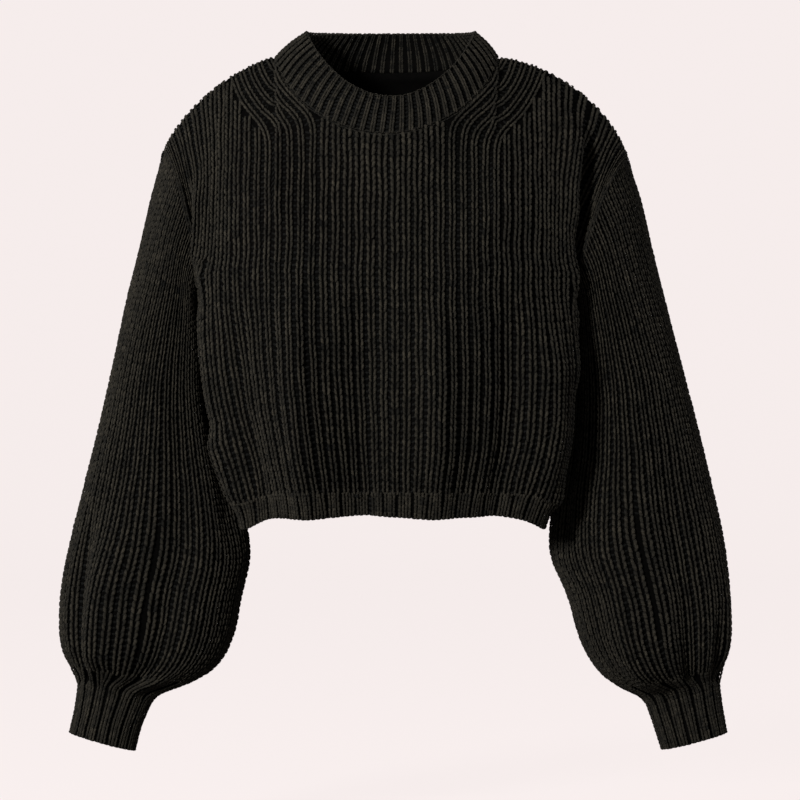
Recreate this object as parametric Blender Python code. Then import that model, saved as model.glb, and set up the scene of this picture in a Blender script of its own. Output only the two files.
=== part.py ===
"""Cropped crew-neck sweater in chunky half-cardigan rib, hollow, as it hangs when worn.

Nine pieces of knitted wall: front and back panel, a hem band below each, a neckband,
two balloon sleeves and two cuffs. The sizes are in millimetres and the mesh is in
metres. +X is the wearer's left, the front faces -Y, and the origin lies at the level
of the neck, above the middle of the shoulders.
"""
import math
from collections import namedtuple

import bmesh
import bpy
import numpy as np

METRES = 0.001

# Knit: thickness on top of a rib, height of a rib over its valleys, gap at a seam.
WALL = 3.8
RIB_RISE = 1.6
HALF_GAP = 0.15
PLAIN_STEP = 3          # the plain inside has one column for this many outer columns
FINE_PLAIN_STEP = 2     # the same for the hem bands and the neckband
NECK_CORNER_GAP = 0.35  # more gap where the panel's edge turns the neck's corner in long steps
CUFF_RIB_FADE = 0.3     # height left of the sleeve's ribs where the cuff gathers them
SEAM_TURN = 6           # columns over which the wall turns to its direction at a seam

BODY_RIBS = 48
HEM_RIBS = 33
NECK_RIBS = 72
SLEEVE_RIBS = 48
CUFF_RIBS = 18

# Body: cross-sections from the hem's edge up. Each half has its half width at the
# side seam and the reach of the front fold that bulges beside the sleeve.
BodySection = namedtuple("BodySection", "height right_side left_side right_reach left_reach front back")
BODY_SECTIONS = (
    BodySection(-450, 125, 130, 156, 154, 101, 96),
    BodySection(-411, 133, 139, 162, 168, 110, 104),
    BodySection(-368, 144, 146, 176, 184, 117, 108),
    BodySection(-320, 157, 152, 190, 190, 121, 111),
    BodySection(-290, 166, 158, 195, 191, 122, 113),
    BodySection(-260, 177, 166, 199, 190, 122, 114),
    BodySection(-234, 188, 176, 202, 188, 121, 114),
    BodySection(-131, 196, 184, 205, 190, 112, 108),
    BodySection(10, 196, 184, 205, 190, 100, 96),
)
FRONT_SQUARENESS = 2.7
BACK_SQUARENESS = 2.3
PINCH_FROM = math.radians(60)
CHEST = -250
HEM_SEAM = -411
HEM_SEAM_DROOP = 11
HEM_BAND = 21
HEM_BAND_DROOP = 3

# Shoulders and neck.
SHOULDER_CURVES = {"right": 1.4, "left": 1.6}
SHOULDER_ROLL = 150
TIP_ROLL_CURVE = 1.75
FRONT_NECK_ROLL_CURVE = 1.3
BACK_NECK_ROLL_CURVE = 1.8
NECK_MIDDLE = -7
NECK_HALF_WIDTH = 107
NECK_HEIGHT = 5
NECK_FRONT_DEPTH = 84
NECK_BACK_DEPTH = 66
NECK_FRONT_DROP = 78
NECK_BACK_DROP = 10
NECK_CURVE = 1.35
TOP_SPREAD = 2.6
TOP_MEAN = -30
NECK_AT = 14 / BODY_RIBS      # share of a panel's width where its neckline starts
UNDERARM_AT = 0.55            # share of a panel's height where its armhole starts
ARMHOLE_NARROWING = 0.2
EDGE_FADE = 0.2
EDGE_FADE_ACROSS = 0.5
ARMHOLE_CLEARANCE = 5

# Collar's upper edge.
COLLAR_MIDDLE = -3
COLLAR_HALF_WIDTH = 80
COLLAR_HEIGHT = 30
COLLAR_FRONT_DEPTH = 68
COLLAR_BACK_DEPTH = 58
COLLAR_FRONT_DROP = 67
COLLAR_BACK_DROP = -3
COLLAR_CURVE = 1.6
COLLAR_BULGE = 2.0

# Folds: a ridge (height above 0) or trough from a top point to a foot point of the
# panel, in shares of its width and height; it grows from nothing to its full height.
Fold = namedtuple("Fold", "top_across top_up foot_across foot_up width height")
FRONT_FOLDS = (
    Fold(0.34, 0.62, 0.32, 0.0, 0.045, 7.0),
    Fold(0.58, 0.60, 0.59, 0.0, 0.050, 7.5),
    Fold(0.84, 0.55, 0.86, 0.0, 0.040, 6.0),
    Fold(0.24, 0.58, 0.21, 0.0, 0.045, -6.0),
    Fold(0.45, 0.66, 0.44, 0.0, 0.040, -7.0),
    Fold(0.72, 0.60, 0.73, 0.0, 0.045, -7.0),
    Fold(0.87, 0.97, 0.93, 0.62, 0.045, -6.0),
)
BACK_FOLDS = (
    Fold(0.30, 0.55, 0.27, 0.0, 0.050, 6.5),
    Fold(0.50, 0.68, 0.53, 0.0, 0.055, 7.5),
    Fold(0.74, 0.56, 0.77, 0.0, 0.045, 6.0),
    Fold(0.40, 0.62, 0.39, 0.0, 0.045, -7.0),
    Fold(0.63, 0.60, 0.65, 0.0, 0.040, -6.0),
)

# Sleeves: cross-sections from the armhole to the cuff seam, each from its outer to
# its inner point; "bow" leans its front half inwards, and "back" is how far its middle
# lies behind the side seam. "right" is the wearer's right, at -X.
SleeveSection = namedtuple("SleeveSection", "outer_x outer_z inner_x inner_z bow back half_depth squareness")
SLEEVES = {
    "right": (
        SleeveSection(-218, -84, -188, -234, 12, 0, 57, 2.0),
        SleeveSection(-231, -128, -187, -246, 9, 2, 58, 2.0),
        SleeveSection(-243, -177, -180, -264, 6, 7, 59, 2.0),
        SleeveSection(-256, -228, -173, -291, 3, 12, 60, 2.05),
        SleeveSection(-268, -284, -166, -330, 0, 15, 61, 2.1),
        SleeveSection(-281, -341, -156, -376, 0, 18, 62, 2.15),
        SleeveSection(-295, -397, -144, -423, 0, 20, 63, 2.2),
        SleeveSection(-308, -449, -137, -467, 0, 20, 64, 2.25),
        SleeveSection(-317, -492, -145, -509, 0, 20, 65, 2.3),
        SleeveSection(-320, -530, -153, -547, 0, 19, 64, 2.3),
        SleeveSection(-317, -558, -168, -574, 0, 17, 58, 2.3),
        SleeveSection(-308, -575, -192, -590, 0, 15, 46, 2.2),
        SleeveSection(-303, -585, -223, -602, 0, 14, 32, 2.0),
        SleeveSection(-302, -593, -231, -611, 0, 13, 27, 2.0),
    ),
    "left": (
        SleeveSection(221, -92, 176, -238, 16, 0, 57, 2.0),
        SleeveSection(235, -132, 175, -249, 12, 3, 58, 2.0),
        SleeveSection(247, -180, 171, -267, 8, 8, 59, 2.0),
        SleeveSection(260, -230, 168, -294, 4, 13, 60, 2.05),
        SleeveSection(274, -283, 163, -333, 0, 18, 61, 2.1),
        SleeveSection(289, -340, 158, -378, 0, 21, 62, 2.15),
        SleeveSection(303, -397, 150, -425, 0, 22, 63, 2.2),
        SleeveSection(315, -451, 149, -468, 0, 22, 64, 2.25),
        SleeveSection(321, -500, 165, -508, 0, 21, 65, 2.3),
        SleeveSection(322, -539, 178, -552, 0, 19, 63, 2.3),
        SleeveSection(318, -563, 195, -580, 0, 17, 56, 2.3),
        SleeveSection(313, -577, 215, -595, 0, 15, 44, 2.2),
        SleeveSection(311, -585, 234, -604, 0, 14, 32, 2.0),
        SleeveSection(311, -592, 240, -612, 0, 13, 27, 2.0),
    ),
}
CUFFS = {
    "right": (
        SleeveSection(-302, -593, -231, -611, 0, 13, 27, 2.0),
        SleeveSection(-305, -614, -240, -632, 0, 12, 26, 2.0),
        SleeveSection(-310, -637, -246, -655, 0, 11, 25.5, 2.0),
    ),
    "left": (
        SleeveSection(311, -592, 240, -612, 0, 13, 27, 2.0),
        SleeveSection(314, -614, 247, -632, 0, 12, 26, 2.0),
        SleeveSection(318, -637, 254, -654, 0, 11, 25.5, 2.0),
    ),
}
SIGNS = {"right": -1, "left": 1}
SLEEVE_FOLDS = {
    "right": (
        Fold(0.18, 5.0, 0.17, 9.5, 0.035, 6.0),
        Fold(0.29, 4.0, 0.28, 9.5, 0.035, -7.0),
        Fold(0.11, 7.0, 0.11, 9.8, 0.025, -5.0),
        Fold(0.70, 4.0, 0.72, 9.5, 0.040, 6.0),
        Fold(0.82, 5.0, 0.80, 9.5, 0.035, -6.0),
    ),
    "left": (
        Fold(0.30, 4.0, 0.31, 9.5, 0.040, 6.0),
        Fold(0.18, 5.0, 0.19, 9.8, 0.035, -7.0),
        Fold(0.07, 6.0, 0.07, 9.5, 0.025, 4.0),
        Fold(0.71, 4.0, 0.70, 9.5, 0.040, 6.0),
        Fold(0.83, 5.0, 0.85, 9.5, 0.035, -6.0),
    ),
}
GATHERS = 10
GATHER_HEIGHT = 1.8
GATHERS_ABOVE_CUFF = 1.3    # rows of the sleeve's table between the cuff and the gathers' middle
GATHERS_SPREAD = 1.1

PANEL_ROWS = np.array([0.0, 0.14, 0.28, 0.42, 0.55, 0.64, 0.73, 0.81, 0.88, 0.94, 0.975, 1.0])
HEM_ROWS = np.array([-1.0, -0.5, 0.0])
COLLAR_ROWS = np.array([0.0, 0.33, 0.67, 1.0])

YARN_COLOUR = (0.0085, 0.0078, 0.0062, 1.0)
YARN_ROUGHNESS = 0.95


def smooth_column(table, key, name, at):
    """A table's column read between its rows on a curve with no kink at a row."""
    places = np.array([getattr(row, key) for row in table], float)
    values = np.array([getattr(row, name) for row in table], float)
    return smooth_values(places, values, at)


def smooth_values(places, values, at):
    slopes = np.gradient(values, places)
    at = np.clip(at, places[0], places[-1])
    index = np.clip(np.searchsorted(places, at) - 1, 0, len(places) - 2)
    step = places[index + 1] - places[index]
    t = (at - places[index]) / step
    start = (2 * t**3 - 3 * t**2 + 1) * values[index] + (t**3 - 2 * t**2 + t) * step * slopes[index]
    end = (3 * t**2 - 2 * t**3) * values[index + 1] + (t**3 - t**2) * step * slopes[index + 1]
    return start + end


def ease(t):
    t = np.clip(t, 0.0, 1.0)
    return t * t * (3 - 2 * t)


def unit(vectors):
    return vectors / np.maximum(np.linalg.norm(vectors, axis=-1, keepdims=True), 1e-9)


def stack(x, y, z):
    return np.stack(np.broadcast_arrays(x, y, z), axis=-1)


def body_section(facing, height, turn):
    """A panel's cross-section: turn 0 is its middle and a quarter turn a side seam."""
    on_right = turn < 0
    side = np.where(on_right, smooth_column(BODY_SECTIONS, "height", "right_side", height),
                    smooth_column(BODY_SECTIONS, "height", "left_side", height))
    if facing < 0:
        squareness = FRONT_SQUARENESS
        depth = smooth_column(BODY_SECTIONS, "height", "front", height)
        reach = np.where(on_right, smooth_column(BODY_SECTIONS, "height", "right_reach", height),
                         smooth_column(BODY_SECTIONS, "height", "left_reach", height))
    else:
        squareness = BACK_SQUARENESS
        depth = smooth_column(BODY_SECTIONS, "height", "back", height)
        reach = side
    across = np.abs(np.sin(turn)) ** (2 / squareness)
    deep = np.abs(np.cos(turn)) ** (2 / squareness)
    pinch = 1 - ease((np.abs(turn) - PINCH_FROM) / (math.pi / 2 - PINCH_FROM))
    x = np.sign(turn) * across * (side + (reach - side) * pinch)
    return x, facing * depth * deep


def even_turns(facing):
    """Turns that part the chest's section into equal widths of knitting."""
    turns = np.linspace(-math.pi / 2, math.pi / 2, 721)
    x, y = body_section(facing, np.full(turns.shape, CHEST, float), turns)
    lengths = np.hypot(np.diff(x), np.diff(y))
    width = np.concatenate([[0.0], np.cumsum(lengths)])
    return width / width[-1], turns


def neck_seam(facing, turn):
    drop = NECK_FRONT_DROP if facing < 0 else NECK_BACK_DROP
    depth = NECK_FRONT_DEPTH if facing < 0 else NECK_BACK_DEPTH
    cosine = np.maximum(np.cos(turn), 0.0)
    return stack(NECK_MIDDLE + NECK_HALF_WIDTH * np.sin(turn), facing * depth * cosine,
                 NECK_HEIGHT - drop * cosine ** NECK_CURVE)


def neck_turn(across):
    """Turn on the neck seam of a wale at this share of the panel's width."""
    place = np.clip((across - 0.5) / (0.5 - NECK_AT), -1.0, 1.0)
    return np.arcsin(np.clip(0.5 * place + 0.5 * np.sin(place * math.pi / 2), -1.0, 1.0))


def top_edge(facing, across):
    """A panel's upper edge: shoulder, neckline and shoulder."""
    edge = neck_seam(facing, neck_turn(across))
    for name, sign in SIGNS.items():
        tip_x, tip_z = SLEEVES[name][0][:2]
        neck_x = NECK_MIDDLE + sign * NECK_HALF_WIDTH
        from_tip = across if sign < 0 else 1 - across
        turn = np.clip(1 - from_tip / NECK_AT, 0.0, 1.0) * math.pi / 2
        x = neck_x + (tip_x - neck_x) * np.sin(turn) ** (2 / SHOULDER_CURVES[name])
        z = tip_z + (NECK_HEIGHT - tip_z) * np.cos(turn) ** (2 / SHOULDER_CURVES[name])
        edge = np.where((from_tip < NECK_AT)[..., None], stack(x, 0.0, z), edge)
    return edge


def ring(name, section, turn):
    """Plane seam ring: points, outward normals in its plane, and the way down the sleeve."""
    half = np.array([section.outer_x - section.inner_x, 0.0, section.outer_z - section.inner_z]) / 2
    middle = np.array([section.outer_x + section.inner_x, 2.0 * section.back,
                       section.outer_z + section.inner_z]) / 2
    front = np.array([-SIGNS[name] * section.bow, -section.half_depth, 0.0])
    cosine = np.cos(turn)[..., None]
    sine = np.sin(turn)[..., None]
    spokes = half * cosine + front * sine
    axis = unit(np.cross(half, front))
    axis = axis if axis[0] * SIGNS[name] > 0 or axis[2] < -0.9 else -axis
    outward = np.cross(front * cosine - half * sine, axis)
    outward = outward * np.sign(np.sum(outward * spokes, axis=-1, keepdims=True))
    return middle + spokes, unit(outward), axis


def armhole(name, turn):
    """Armhole seam: turn 0 is the shoulder's tip and a half turn the underarm."""
    return ring(name, SLEEVES[name][0], turn)


def armhole_turn(facing, up):
    share = np.clip((up - UNDERARM_AT) / (1 - UNDERARM_AT), 0.0, 1.0)
    return -facing * math.pi * (1 - share)


def hem_seam_height(across):
    return HEM_SEAM - HEM_SEAM_DROOP * np.abs(2 * across - 1) ** 3


def panel_height(facing, across, up):
    top = top_edge(facing, across)[..., 2]
    low = hem_seam_height(across)
    band = HEM_BAND + HEM_BAND_DROOP * np.abs(2 * across - 1) ** 3
    above = low + (TOP_MEAN - low) * up + (top - TOP_MEAN) * np.maximum(up, 0.0) ** TOP_SPREAD
    return np.where(up >= 0, above, low + band * up)


def panel_base(facing, across, up):
    top = top_edge(facing, across)
    height = panel_height(facing, across, up)
    share = np.clip((up - UNDERARM_AT) / (1 - UNDERARM_AT), 0.0, 1.0)
    narrowing = 1 - ARMHOLE_NARROWING * np.sin(math.pi * share) ** 0.8
    shares, turns = even_turns(facing)
    turn = np.interp(across, shares, turns) * narrowing
    x, y = body_section(facing, height, turn)
    neck_curve = FRONT_NECK_ROLL_CURVE if facing < 0 else BACK_NECK_ROLL_CURVE
    curve = neck_curve + (TIP_ROLL_CURVE - neck_curve) * ease((np.abs(2 * across - 1) - 0.4) / 0.45)
    roll = 1 - np.clip((top[..., 2] - height) / SHOULDER_ROLL, 0.0, 1.0)
    roll = (1 - roll ** curve) ** (1 / curve)
    x = x + (top[..., 0] - x) * ease((up - 0.45) / 0.55)
    y = top[..., 1] + (y - top[..., 1]) * roll
    return stack(x, y, height)


def panel_side(facing, name, up):
    """A panel's side edge: side seam up to the underarm, then half the armhole."""
    across = np.zeros_like(up) if name == "right" else np.ones_like(up)
    low = hem_seam_height(across)
    under_x, under_z = SLEEVES[name][0][2:4]
    seam_z = np.where(up >= 0, low + (under_z - low) * up / UNDERARM_AT, panel_height(facing, across, up))
    side = smooth_column(BODY_SECTIONS, "height", name + "_side", seam_z)
    at_top = smooth_column(BODY_SECTIONS, "height", name + "_side", float(under_z))
    side = side + (abs(under_x) - at_top) * ease(1 - (under_z - seam_z) / 60)
    seam = stack(SIGNS[name] * side, 0.0, seam_z)
    points = armhole(name, armhole_turn(facing, up))[0]
    return np.where((up > UNDERARM_AT)[..., None], points, seam)


def fold_height(folds, across, up):
    height = np.zeros(np.broadcast(across, up).shape)
    for fold in folds:
        t = (up - fold.top_up) / (fold.foot_up - fold.top_up)
        middle = fold.top_across + (fold.foot_across - fold.top_across) * t
        grown = ease(t) * ease((1.5 - t) / 0.4)
        height = height + fold.height * grown * np.exp(-((across - middle) / fold.width) ** 2)
    return height


def behind_armhole(name, points, from_edge, up):
    """Keeps the knitting beside an armhole on the body's side of the seam's plane."""
    section = SLEEVES[name][0]
    middle, _, axis = ring(name, section, np.array(0.0))
    half = np.array([section.outer_x - section.inner_x, 0.0, section.outer_z - section.inner_z]) / 2
    front = np.array([-SIGNS[name] * section.bow, -section.half_depth, 0.0])
    spokes = np.linalg.inv(np.stack([half, front, axis], axis=1))
    place = (points - (middle - half)) @ spokes.T
    reach = np.hypot(place[..., 0], place[..., 1])
    clear = ARMHOLE_CLEARANCE * ease(from_edge / 0.05)
    past = np.maximum(place[..., 2] + clear, 0.0) * ease((1.25 - reach) / 0.2)
    past = past * ease((up - UNDERARM_AT + 0.1) / 0.1)
    return points - axis * (past * (from_edge > 1e-9))[..., None]


def panel_plain(facing, across, up):
    points = panel_base(facing, across, up)
    for name, from_edge in (("right", across), ("left", 1 - across)):
        at_edge = np.zeros_like(up) if name == "right" else np.ones_like(up)
        move = panel_side(facing, name, up) - panel_base(facing, at_edge, up)
        fade = np.clip(1 - from_edge / EDGE_FADE, 0.0, 1.0) ** 2
        fade_across = np.clip(1 - from_edge / EDGE_FADE_ACROSS, 0.0, 1.0) ** 1.3
        points = points + move * stack(fade_across, fade, fade)
    for name, from_edge in (("right", across), ("left", 1 - across)):
        points = behind_armhole(name, points, from_edge, up)
    return points


def surface_normals(surface, across, up, facing, limits):
    """Outward unit normals of a surface, from its slopes over a small step."""
    step = 0.004
    low, high = limits
    a0 = np.clip(across - step, 0.0, 1.0)
    a1 = np.clip(across + step, 0.0, 1.0)
    u0 = np.clip(up - step, low, high)
    u1 = np.clip(up + step, low, high)
    along = surface(a1, up) - surface(a0, up)
    rise = surface(across, u1) - surface(across, u0)
    return unit(np.cross(along, rise)) * -facing


def panel_surface(facing, across, up):
    def plain(a, b):
        return panel_plain(facing, a, b)
    folds = FRONT_FOLDS if facing < 0 else BACK_FOLDS
    inside = ease(across / 0.06) * ease((1 - across) / 0.06) * ease((1 - up) / 0.08)
    height = fold_height(folds, across, np.maximum(up, 0.0)) * inside
    return plain(across, up) + surface_normals(plain, across, up, facing, (-1.0, 1.0)) * height[..., None]


def collar_surface(turn, up):
    """Collar from the neck seam to its upper edge; turn runs once round from the back."""
    front = np.cos(turn) > 0
    facing = np.where(front, -1.0, 1.0)
    cosine = np.abs(np.cos(turn))
    from_middle = np.arcsin(np.clip(np.sin(turn), -1.0, 1.0))
    seam = np.where(front[..., None], neck_seam(-1, from_middle), neck_seam(1, from_middle))
    edge_depth = np.where(front, COLLAR_FRONT_DEPTH, COLLAR_BACK_DEPTH)
    edge_drop = np.where(front, COLLAR_FRONT_DROP, COLLAR_BACK_DROP)
    edge = stack(COLLAR_MIDDLE + COLLAR_HALF_WIDTH * np.sin(turn), facing * edge_depth * cosine,
                 COLLAR_HEIGHT - edge_drop * cosine ** COLLAR_CURVE)
    bulge = stack(np.sin(turn), -np.cos(turn), 0.3) * (COLLAR_BULGE * np.sin(math.pi * up))[..., None]
    return seam + (edge - seam) * up[..., None] + bulge


def collar_frame(turn):
    """Outward normal and upward direction of the collar at the neck seam."""
    step = 0.01
    zero = np.zeros_like(turn)
    along = collar_surface(turn + step, zero) - collar_surface(turn - step, zero)
    rise = unit(collar_surface(turn, zero + 0.05) - collar_surface(turn, zero))
    return unit(np.cross(along, rise)), rise


def panel_grid(facing, ribs, rows):
    """Outer points and wall directions of a panel or hem band, closed in at its seams."""
    columns = np.linspace(0.0, 1.0, 2 * ribs + 1)
    up, across = np.meshgrid(rows, columns, indexing="ij")

    def surface(a, b):
        return panel_surface(facing, a, b)
    points = surface(across, up)
    normals = surface_normals(surface, across, up, facing, (-1.0, 1.0))
    for column, name in ((0, "right"), (-1, "left")):
        edge = points[:, column]
        slope = np.gradient(edge, axis=0)
        outward = unit(stack(SIGNS[name] * slope[:, 2], 0.0 * slope[:, 0], -SIGNS[name] * slope[:, 0]))
        _, radial, axis = armhole(name, armhole_turn(facing, rows))
        on_armhole = (rows > UNDERARM_AT - 1e-6)[:, None]
        on_seam = (rows < UNDERARM_AT + 1e-6)[:, None] | (rows == 1.0)[:, None]
        normals[:, column] = np.where(on_armhole, radial, outward)
        for away in range(1, SEAM_TURN):
            beside = away if column == 0 else -1 - away
            share = 1 - away / SEAM_TURN
            normals[:-1, beside] = unit(normals[:-1, beside] * (1 - share) + normals[:-1, column] * share)
        points[:, column] -= np.where(on_armhole, axis * HALF_GAP, 0.0)
        points[:, column] += np.where(on_seam, np.array([0.0, facing * HALF_GAP, 0.0]), 0.0)
    if rows[-1] == 1.0:
        finish_top(facing, columns, points, normals)
    seam_row = -1 if rows[-1] == 0.0 else 0
    normals[seam_row, :, 2] = 0.0
    normals[seam_row] = unit(normals[seam_row])
    points[seam_row, :, 2] += HALF_GAP if seam_row == 0 else -HALF_GAP
    return columns, points, normals


def finish_top(facing, columns, points, normals):
    """Top row of a panel: half a gap from the other panel or from the collar."""
    for index, across in enumerate(columns[1:-1], start=1):
        if NECK_AT - 1e-6 <= across <= 1 - NECK_AT + 1e-6:
            turn = float(neck_turn(np.array(across)))
            turn = turn if facing < 0 else math.pi - turn
            normal, rise = collar_frame(np.array([turn]))
            normals[-1, index] = normal[0]
            beside_shoulder = abs((across - 0.5) / (0.5 - NECK_AT)) ** 6
            points[-1, index] -= rise[0] * (HALF_GAP + NECK_CORNER_GAP * beside_shoulder)
            at_corner = min(abs(across - NECK_AT), abs(1 - across - NECK_AT)) < 1e-6
            points[-1, index, 1] += facing * HALF_GAP if at_corner else 0.0
        else:
            slope = points[-1, index + 1] - points[-1, index - 1]
            normals[-1, index] = unit(np.array([-slope[2], 0.0, slope[0]]))
            points[-1, index, 1] += facing * HALF_GAP


def tube_sections(table, rows):
    places = np.arange(len(table), dtype=float)
    return [smooth_values(places, np.array(column, float), rows) for column in zip(*table)]


def tube_surface(name, table, folds, around, row):
    """Sleeve or cuff: around 0 is the outer point, a quarter the front, a half the inner."""
    outer_x, outer_z, inner_x, inner_z, bow, back, half_depth, squareness = tube_sections(table, row)
    turn = around * 2 * math.pi
    cosine = np.sign(np.cos(turn)) * np.abs(np.cos(turn)) ** (2 / squareness)
    sine = np.sign(np.sin(turn)) * np.abs(np.sin(turn)) ** (2 / squareness)
    x = (outer_x + inner_x) / 2 + (outer_x - inner_x) / 2 * cosine - SIGNS[name] * bow * sine
    z = (outer_z + inner_z) / 2 + (outer_z - inner_z) / 2 * cosine
    y = back - half_depth * sine
    outward = unit(stack((outer_x - inner_x) * np.cos(turn), -2 * half_depth * np.sin(turn),
                         (outer_z - inner_z) * np.cos(turn)))
    height = fold_height(folds, around % 1.0, row)
    if folds:
        last = len(table) - 1.0
        waves = np.sin(GATHERS * turn + 0.6 * np.sin(3 * turn))
        gathered = np.exp(-((row - last + GATHERS_ABOVE_CUFF) / GATHERS_SPREAD) ** 2)
        height = height * ease((last - row) / 2) + GATHER_HEIGHT * waves * gathered
        height = height * ease((last - row) / 0.6)
    return stack(x, y, z) + outward * height[..., None]


def tube_grid(name, table, folds, ribs):
    columns = np.arange(2 * ribs) / (2 * ribs)
    last = len(table) - 1.0
    row, around = np.meshgrid(np.arange(len(table), dtype=float), columns, indexing="ij")

    def surface(a, r):
        return tube_surface(name, table, folds, a, np.clip(r, 0.0, last))
    points = surface(around, row)
    along = surface(around + 0.002, row) - surface(around - 0.002, row)
    rise = surface(around, row + 0.05) - surface(around, row - 0.05)
    normals = unit(np.cross(along, rise)) * SIGNS[name]
    for index in (0, -1):
        normals[index] = ring(name, table[index], columns * 2 * math.pi)[1]
    return columns, points, normals


def ribbed(points, normals, rib_heights):
    """Outer face: every other column is a valley, lower than the ribs beside it."""
    valley = np.where(np.arange(points.shape[1]) % 2 == 0, RIB_RISE, 0.0)
    return points - normals * valley[None, :, None] * rib_heights[:, None, None]


def strip(faces, low, high, low_places, high_places, flip):
    """Triangles between two rows of points whose columns may differ in number."""
    i = 0
    j = 0
    while i < len(low) - 1 or j < len(high) - 1:
        step_low = j == len(high) - 1 or (i < len(low) - 1 and low_places[i + 1] <= high_places[j + 1])
        if step_low:
            face = (low[i], low[i + 1], high[j])
            i += 1
        else:
            face = (low[i], high[j + 1], high[j])
            j += 1
        faces.append(face[::-1] if flip else face)


def wall_mesh(name, columns, points, normals, closed, step=PLAIN_STEP, fine_top=False, fine_foot=False,
              gathered=False):
    """Closed wall: ribbed outer grid, plain inner grid and the edges between them."""
    rib_heights = np.ones(len(points))
    if gathered:
        rib_heights[-3:] = np.linspace(1.0, CUFF_RIB_FADE, 3)
    outer = ribbed(points, normals, rib_heights)
    inner = points - normals * WALL
    row_count, column_count = outer.shape[:2]
    places = list(columns) + [1.0] if closed else list(columns)
    chosen = set(range(0, column_count, step))
    if not closed:
        chosen.update(range(SEAM_TURN + 1))
        chosen.update(range(column_count - SEAM_TURN - 1, column_count))
    chosen = sorted(chosen)
    vertices = [tuple(p * METRES) for p in outer.reshape(-1, 3)]
    outer_rows = []
    inner_rows = []
    inner_places = []
    for row in range(row_count):
        indices = [row * column_count + c for c in range(column_count)]
        outer_rows.append(indices + indices[:1] if closed else indices)
        fine = (row == 0 and fine_foot) or (row == row_count - 1 and fine_top)
        used = list(range(column_count)) if fine else chosen
        start = len(vertices)
        vertices.extend(tuple(inner[row, c] * METRES) for c in used)
        indices = list(range(start, start + len(used)))
        inner_rows.append(indices + indices[:1] if closed else indices)
        inner_places.append([columns[c] for c in used] + ([1.0] if closed else []))
    faces = []
    for row in range(row_count - 1):
        above = row + 1
        for c in range(len(places) - 1):
            faces.append((outer_rows[row][c], outer_rows[row][c + 1],
                          outer_rows[above][c + 1], outer_rows[above][c]))
        strip(faces, inner_rows[row], inner_rows[above], inner_places[row], inner_places[above], True)
    strip(faces, inner_rows[0], outer_rows[0], inner_places[0], places, False)
    strip(faces, outer_rows[-1], inner_rows[-1], places, inner_places[-1], False)
    if not closed:
        for row in range(row_count - 1):
            above = row + 1
            faces.append((outer_rows[above][0], inner_rows[above][0], inner_rows[row][0], outer_rows[row][0]))
            faces.append((outer_rows[row][-1], inner_rows[row][-1],
                          inner_rows[above][-1], outer_rows[above][-1]))
    mesh = bpy.data.meshes.new(name)
    mesh.from_pydata(vertices, [], faces)
    shell = bmesh.new()
    shell.from_mesh(mesh)
    bmesh.ops.triangulate(shell, faces=shell.faces)
    if shell.calc_volume(signed=True) < 0:
        bmesh.ops.reverse_faces(shell, faces=shell.faces)
    shell.to_mesh(mesh)
    shell.free()
    return mesh


def yarn_material(name):
    material = bpy.data.materials.new(name)
    material.use_nodes = True
    shader = material.node_tree.nodes["Principled BSDF"]
    shader.inputs["Base Color"].default_value = YARN_COLOUR
    shader.inputs["Roughness"].default_value = YARN_ROUGHNESS
    shader.inputs["Metallic"].default_value = 0.0
    return material


def add_piece(collection, name, mesh):
    mesh.materials.append(yarn_material(name + "_yarn"))
    mesh.shade_smooth()
    mesh.set_sharp_from_angle(angle=math.radians(50))
    piece = bpy.data.objects.new(name, mesh)
    collection.objects.link(piece)


def add_body(collection):
    for facing, word in ((-1, "front"), (1, "back")):
        grid = panel_grid(facing, BODY_RIBS, PANEL_ROWS)
        add_piece(collection, word + "_body", wall_mesh(word + "_body", *grid, closed=False, fine_top=True))
        grid = panel_grid(facing, HEM_RIBS, HEM_ROWS)
        mesh = wall_mesh("hem_" + word, *grid, closed=False, step=FINE_PLAIN_STEP)
        add_piece(collection, "hem_" + word, mesh)


def add_neckband(collection):
    columns = np.arange(2 * NECK_RIBS) / (2 * NECK_RIBS)
    up, around = np.meshgrid(COLLAR_ROWS, columns, indexing="ij")
    turn = around * 2 * math.pi - math.pi
    points = collar_surface(turn, up)
    step = 0.01
    along = collar_surface(turn + step, up) - collar_surface(turn - step, up)
    rise = (collar_surface(turn, np.clip(up + step, 0, 1)) - collar_surface(turn, np.clip(up - step, 0, 1)))
    normals = unit(np.cross(along, rise))
    normals[0], seam_rise = collar_frame(turn[0])
    points[0] += seam_rise * HALF_GAP
    mesh = wall_mesh("neckband", columns, points, normals, closed=True, step=FINE_PLAIN_STEP, fine_foot=True)
    add_piece(collection, "neckband", mesh)


def add_sleeves(collection):
    for name in SIGNS:
        columns, points, normals = tube_grid(name, SLEEVES[name], SLEEVE_FOLDS[name], SLEEVE_RIBS)
        points[0] += armhole(name, columns)[2] * HALF_GAP
        points[-1] -= ring(name, SLEEVES[name][-1], columns)[2] * HALF_GAP
        mesh = wall_mesh("sleeve_" + name, columns, points, normals, closed=True, gathered=True)
        add_piece(collection, "sleeve_" + name, mesh)
        columns, points, normals = tube_grid(name, CUFFS[name], (), CUFF_RIBS)
        points[0] += ring(name, CUFFS[name][0], columns)[2] * HALF_GAP
        mesh = wall_mesh("cuff_" + name, columns, points, normals, closed=True)
        add_piece(collection, "cuff_" + name, mesh)


def build_sweater():
    for item in list(bpy.data.objects):
        bpy.data.objects.remove(item, do_unlink=True)
    collection = bpy.data.collections.new("cropped_knit_sweater")
    bpy.context.scene.collection.children.link(collection)
    add_body(collection)
    add_neckband(collection)
    add_sleeves(collection)


build_sweater()
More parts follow.
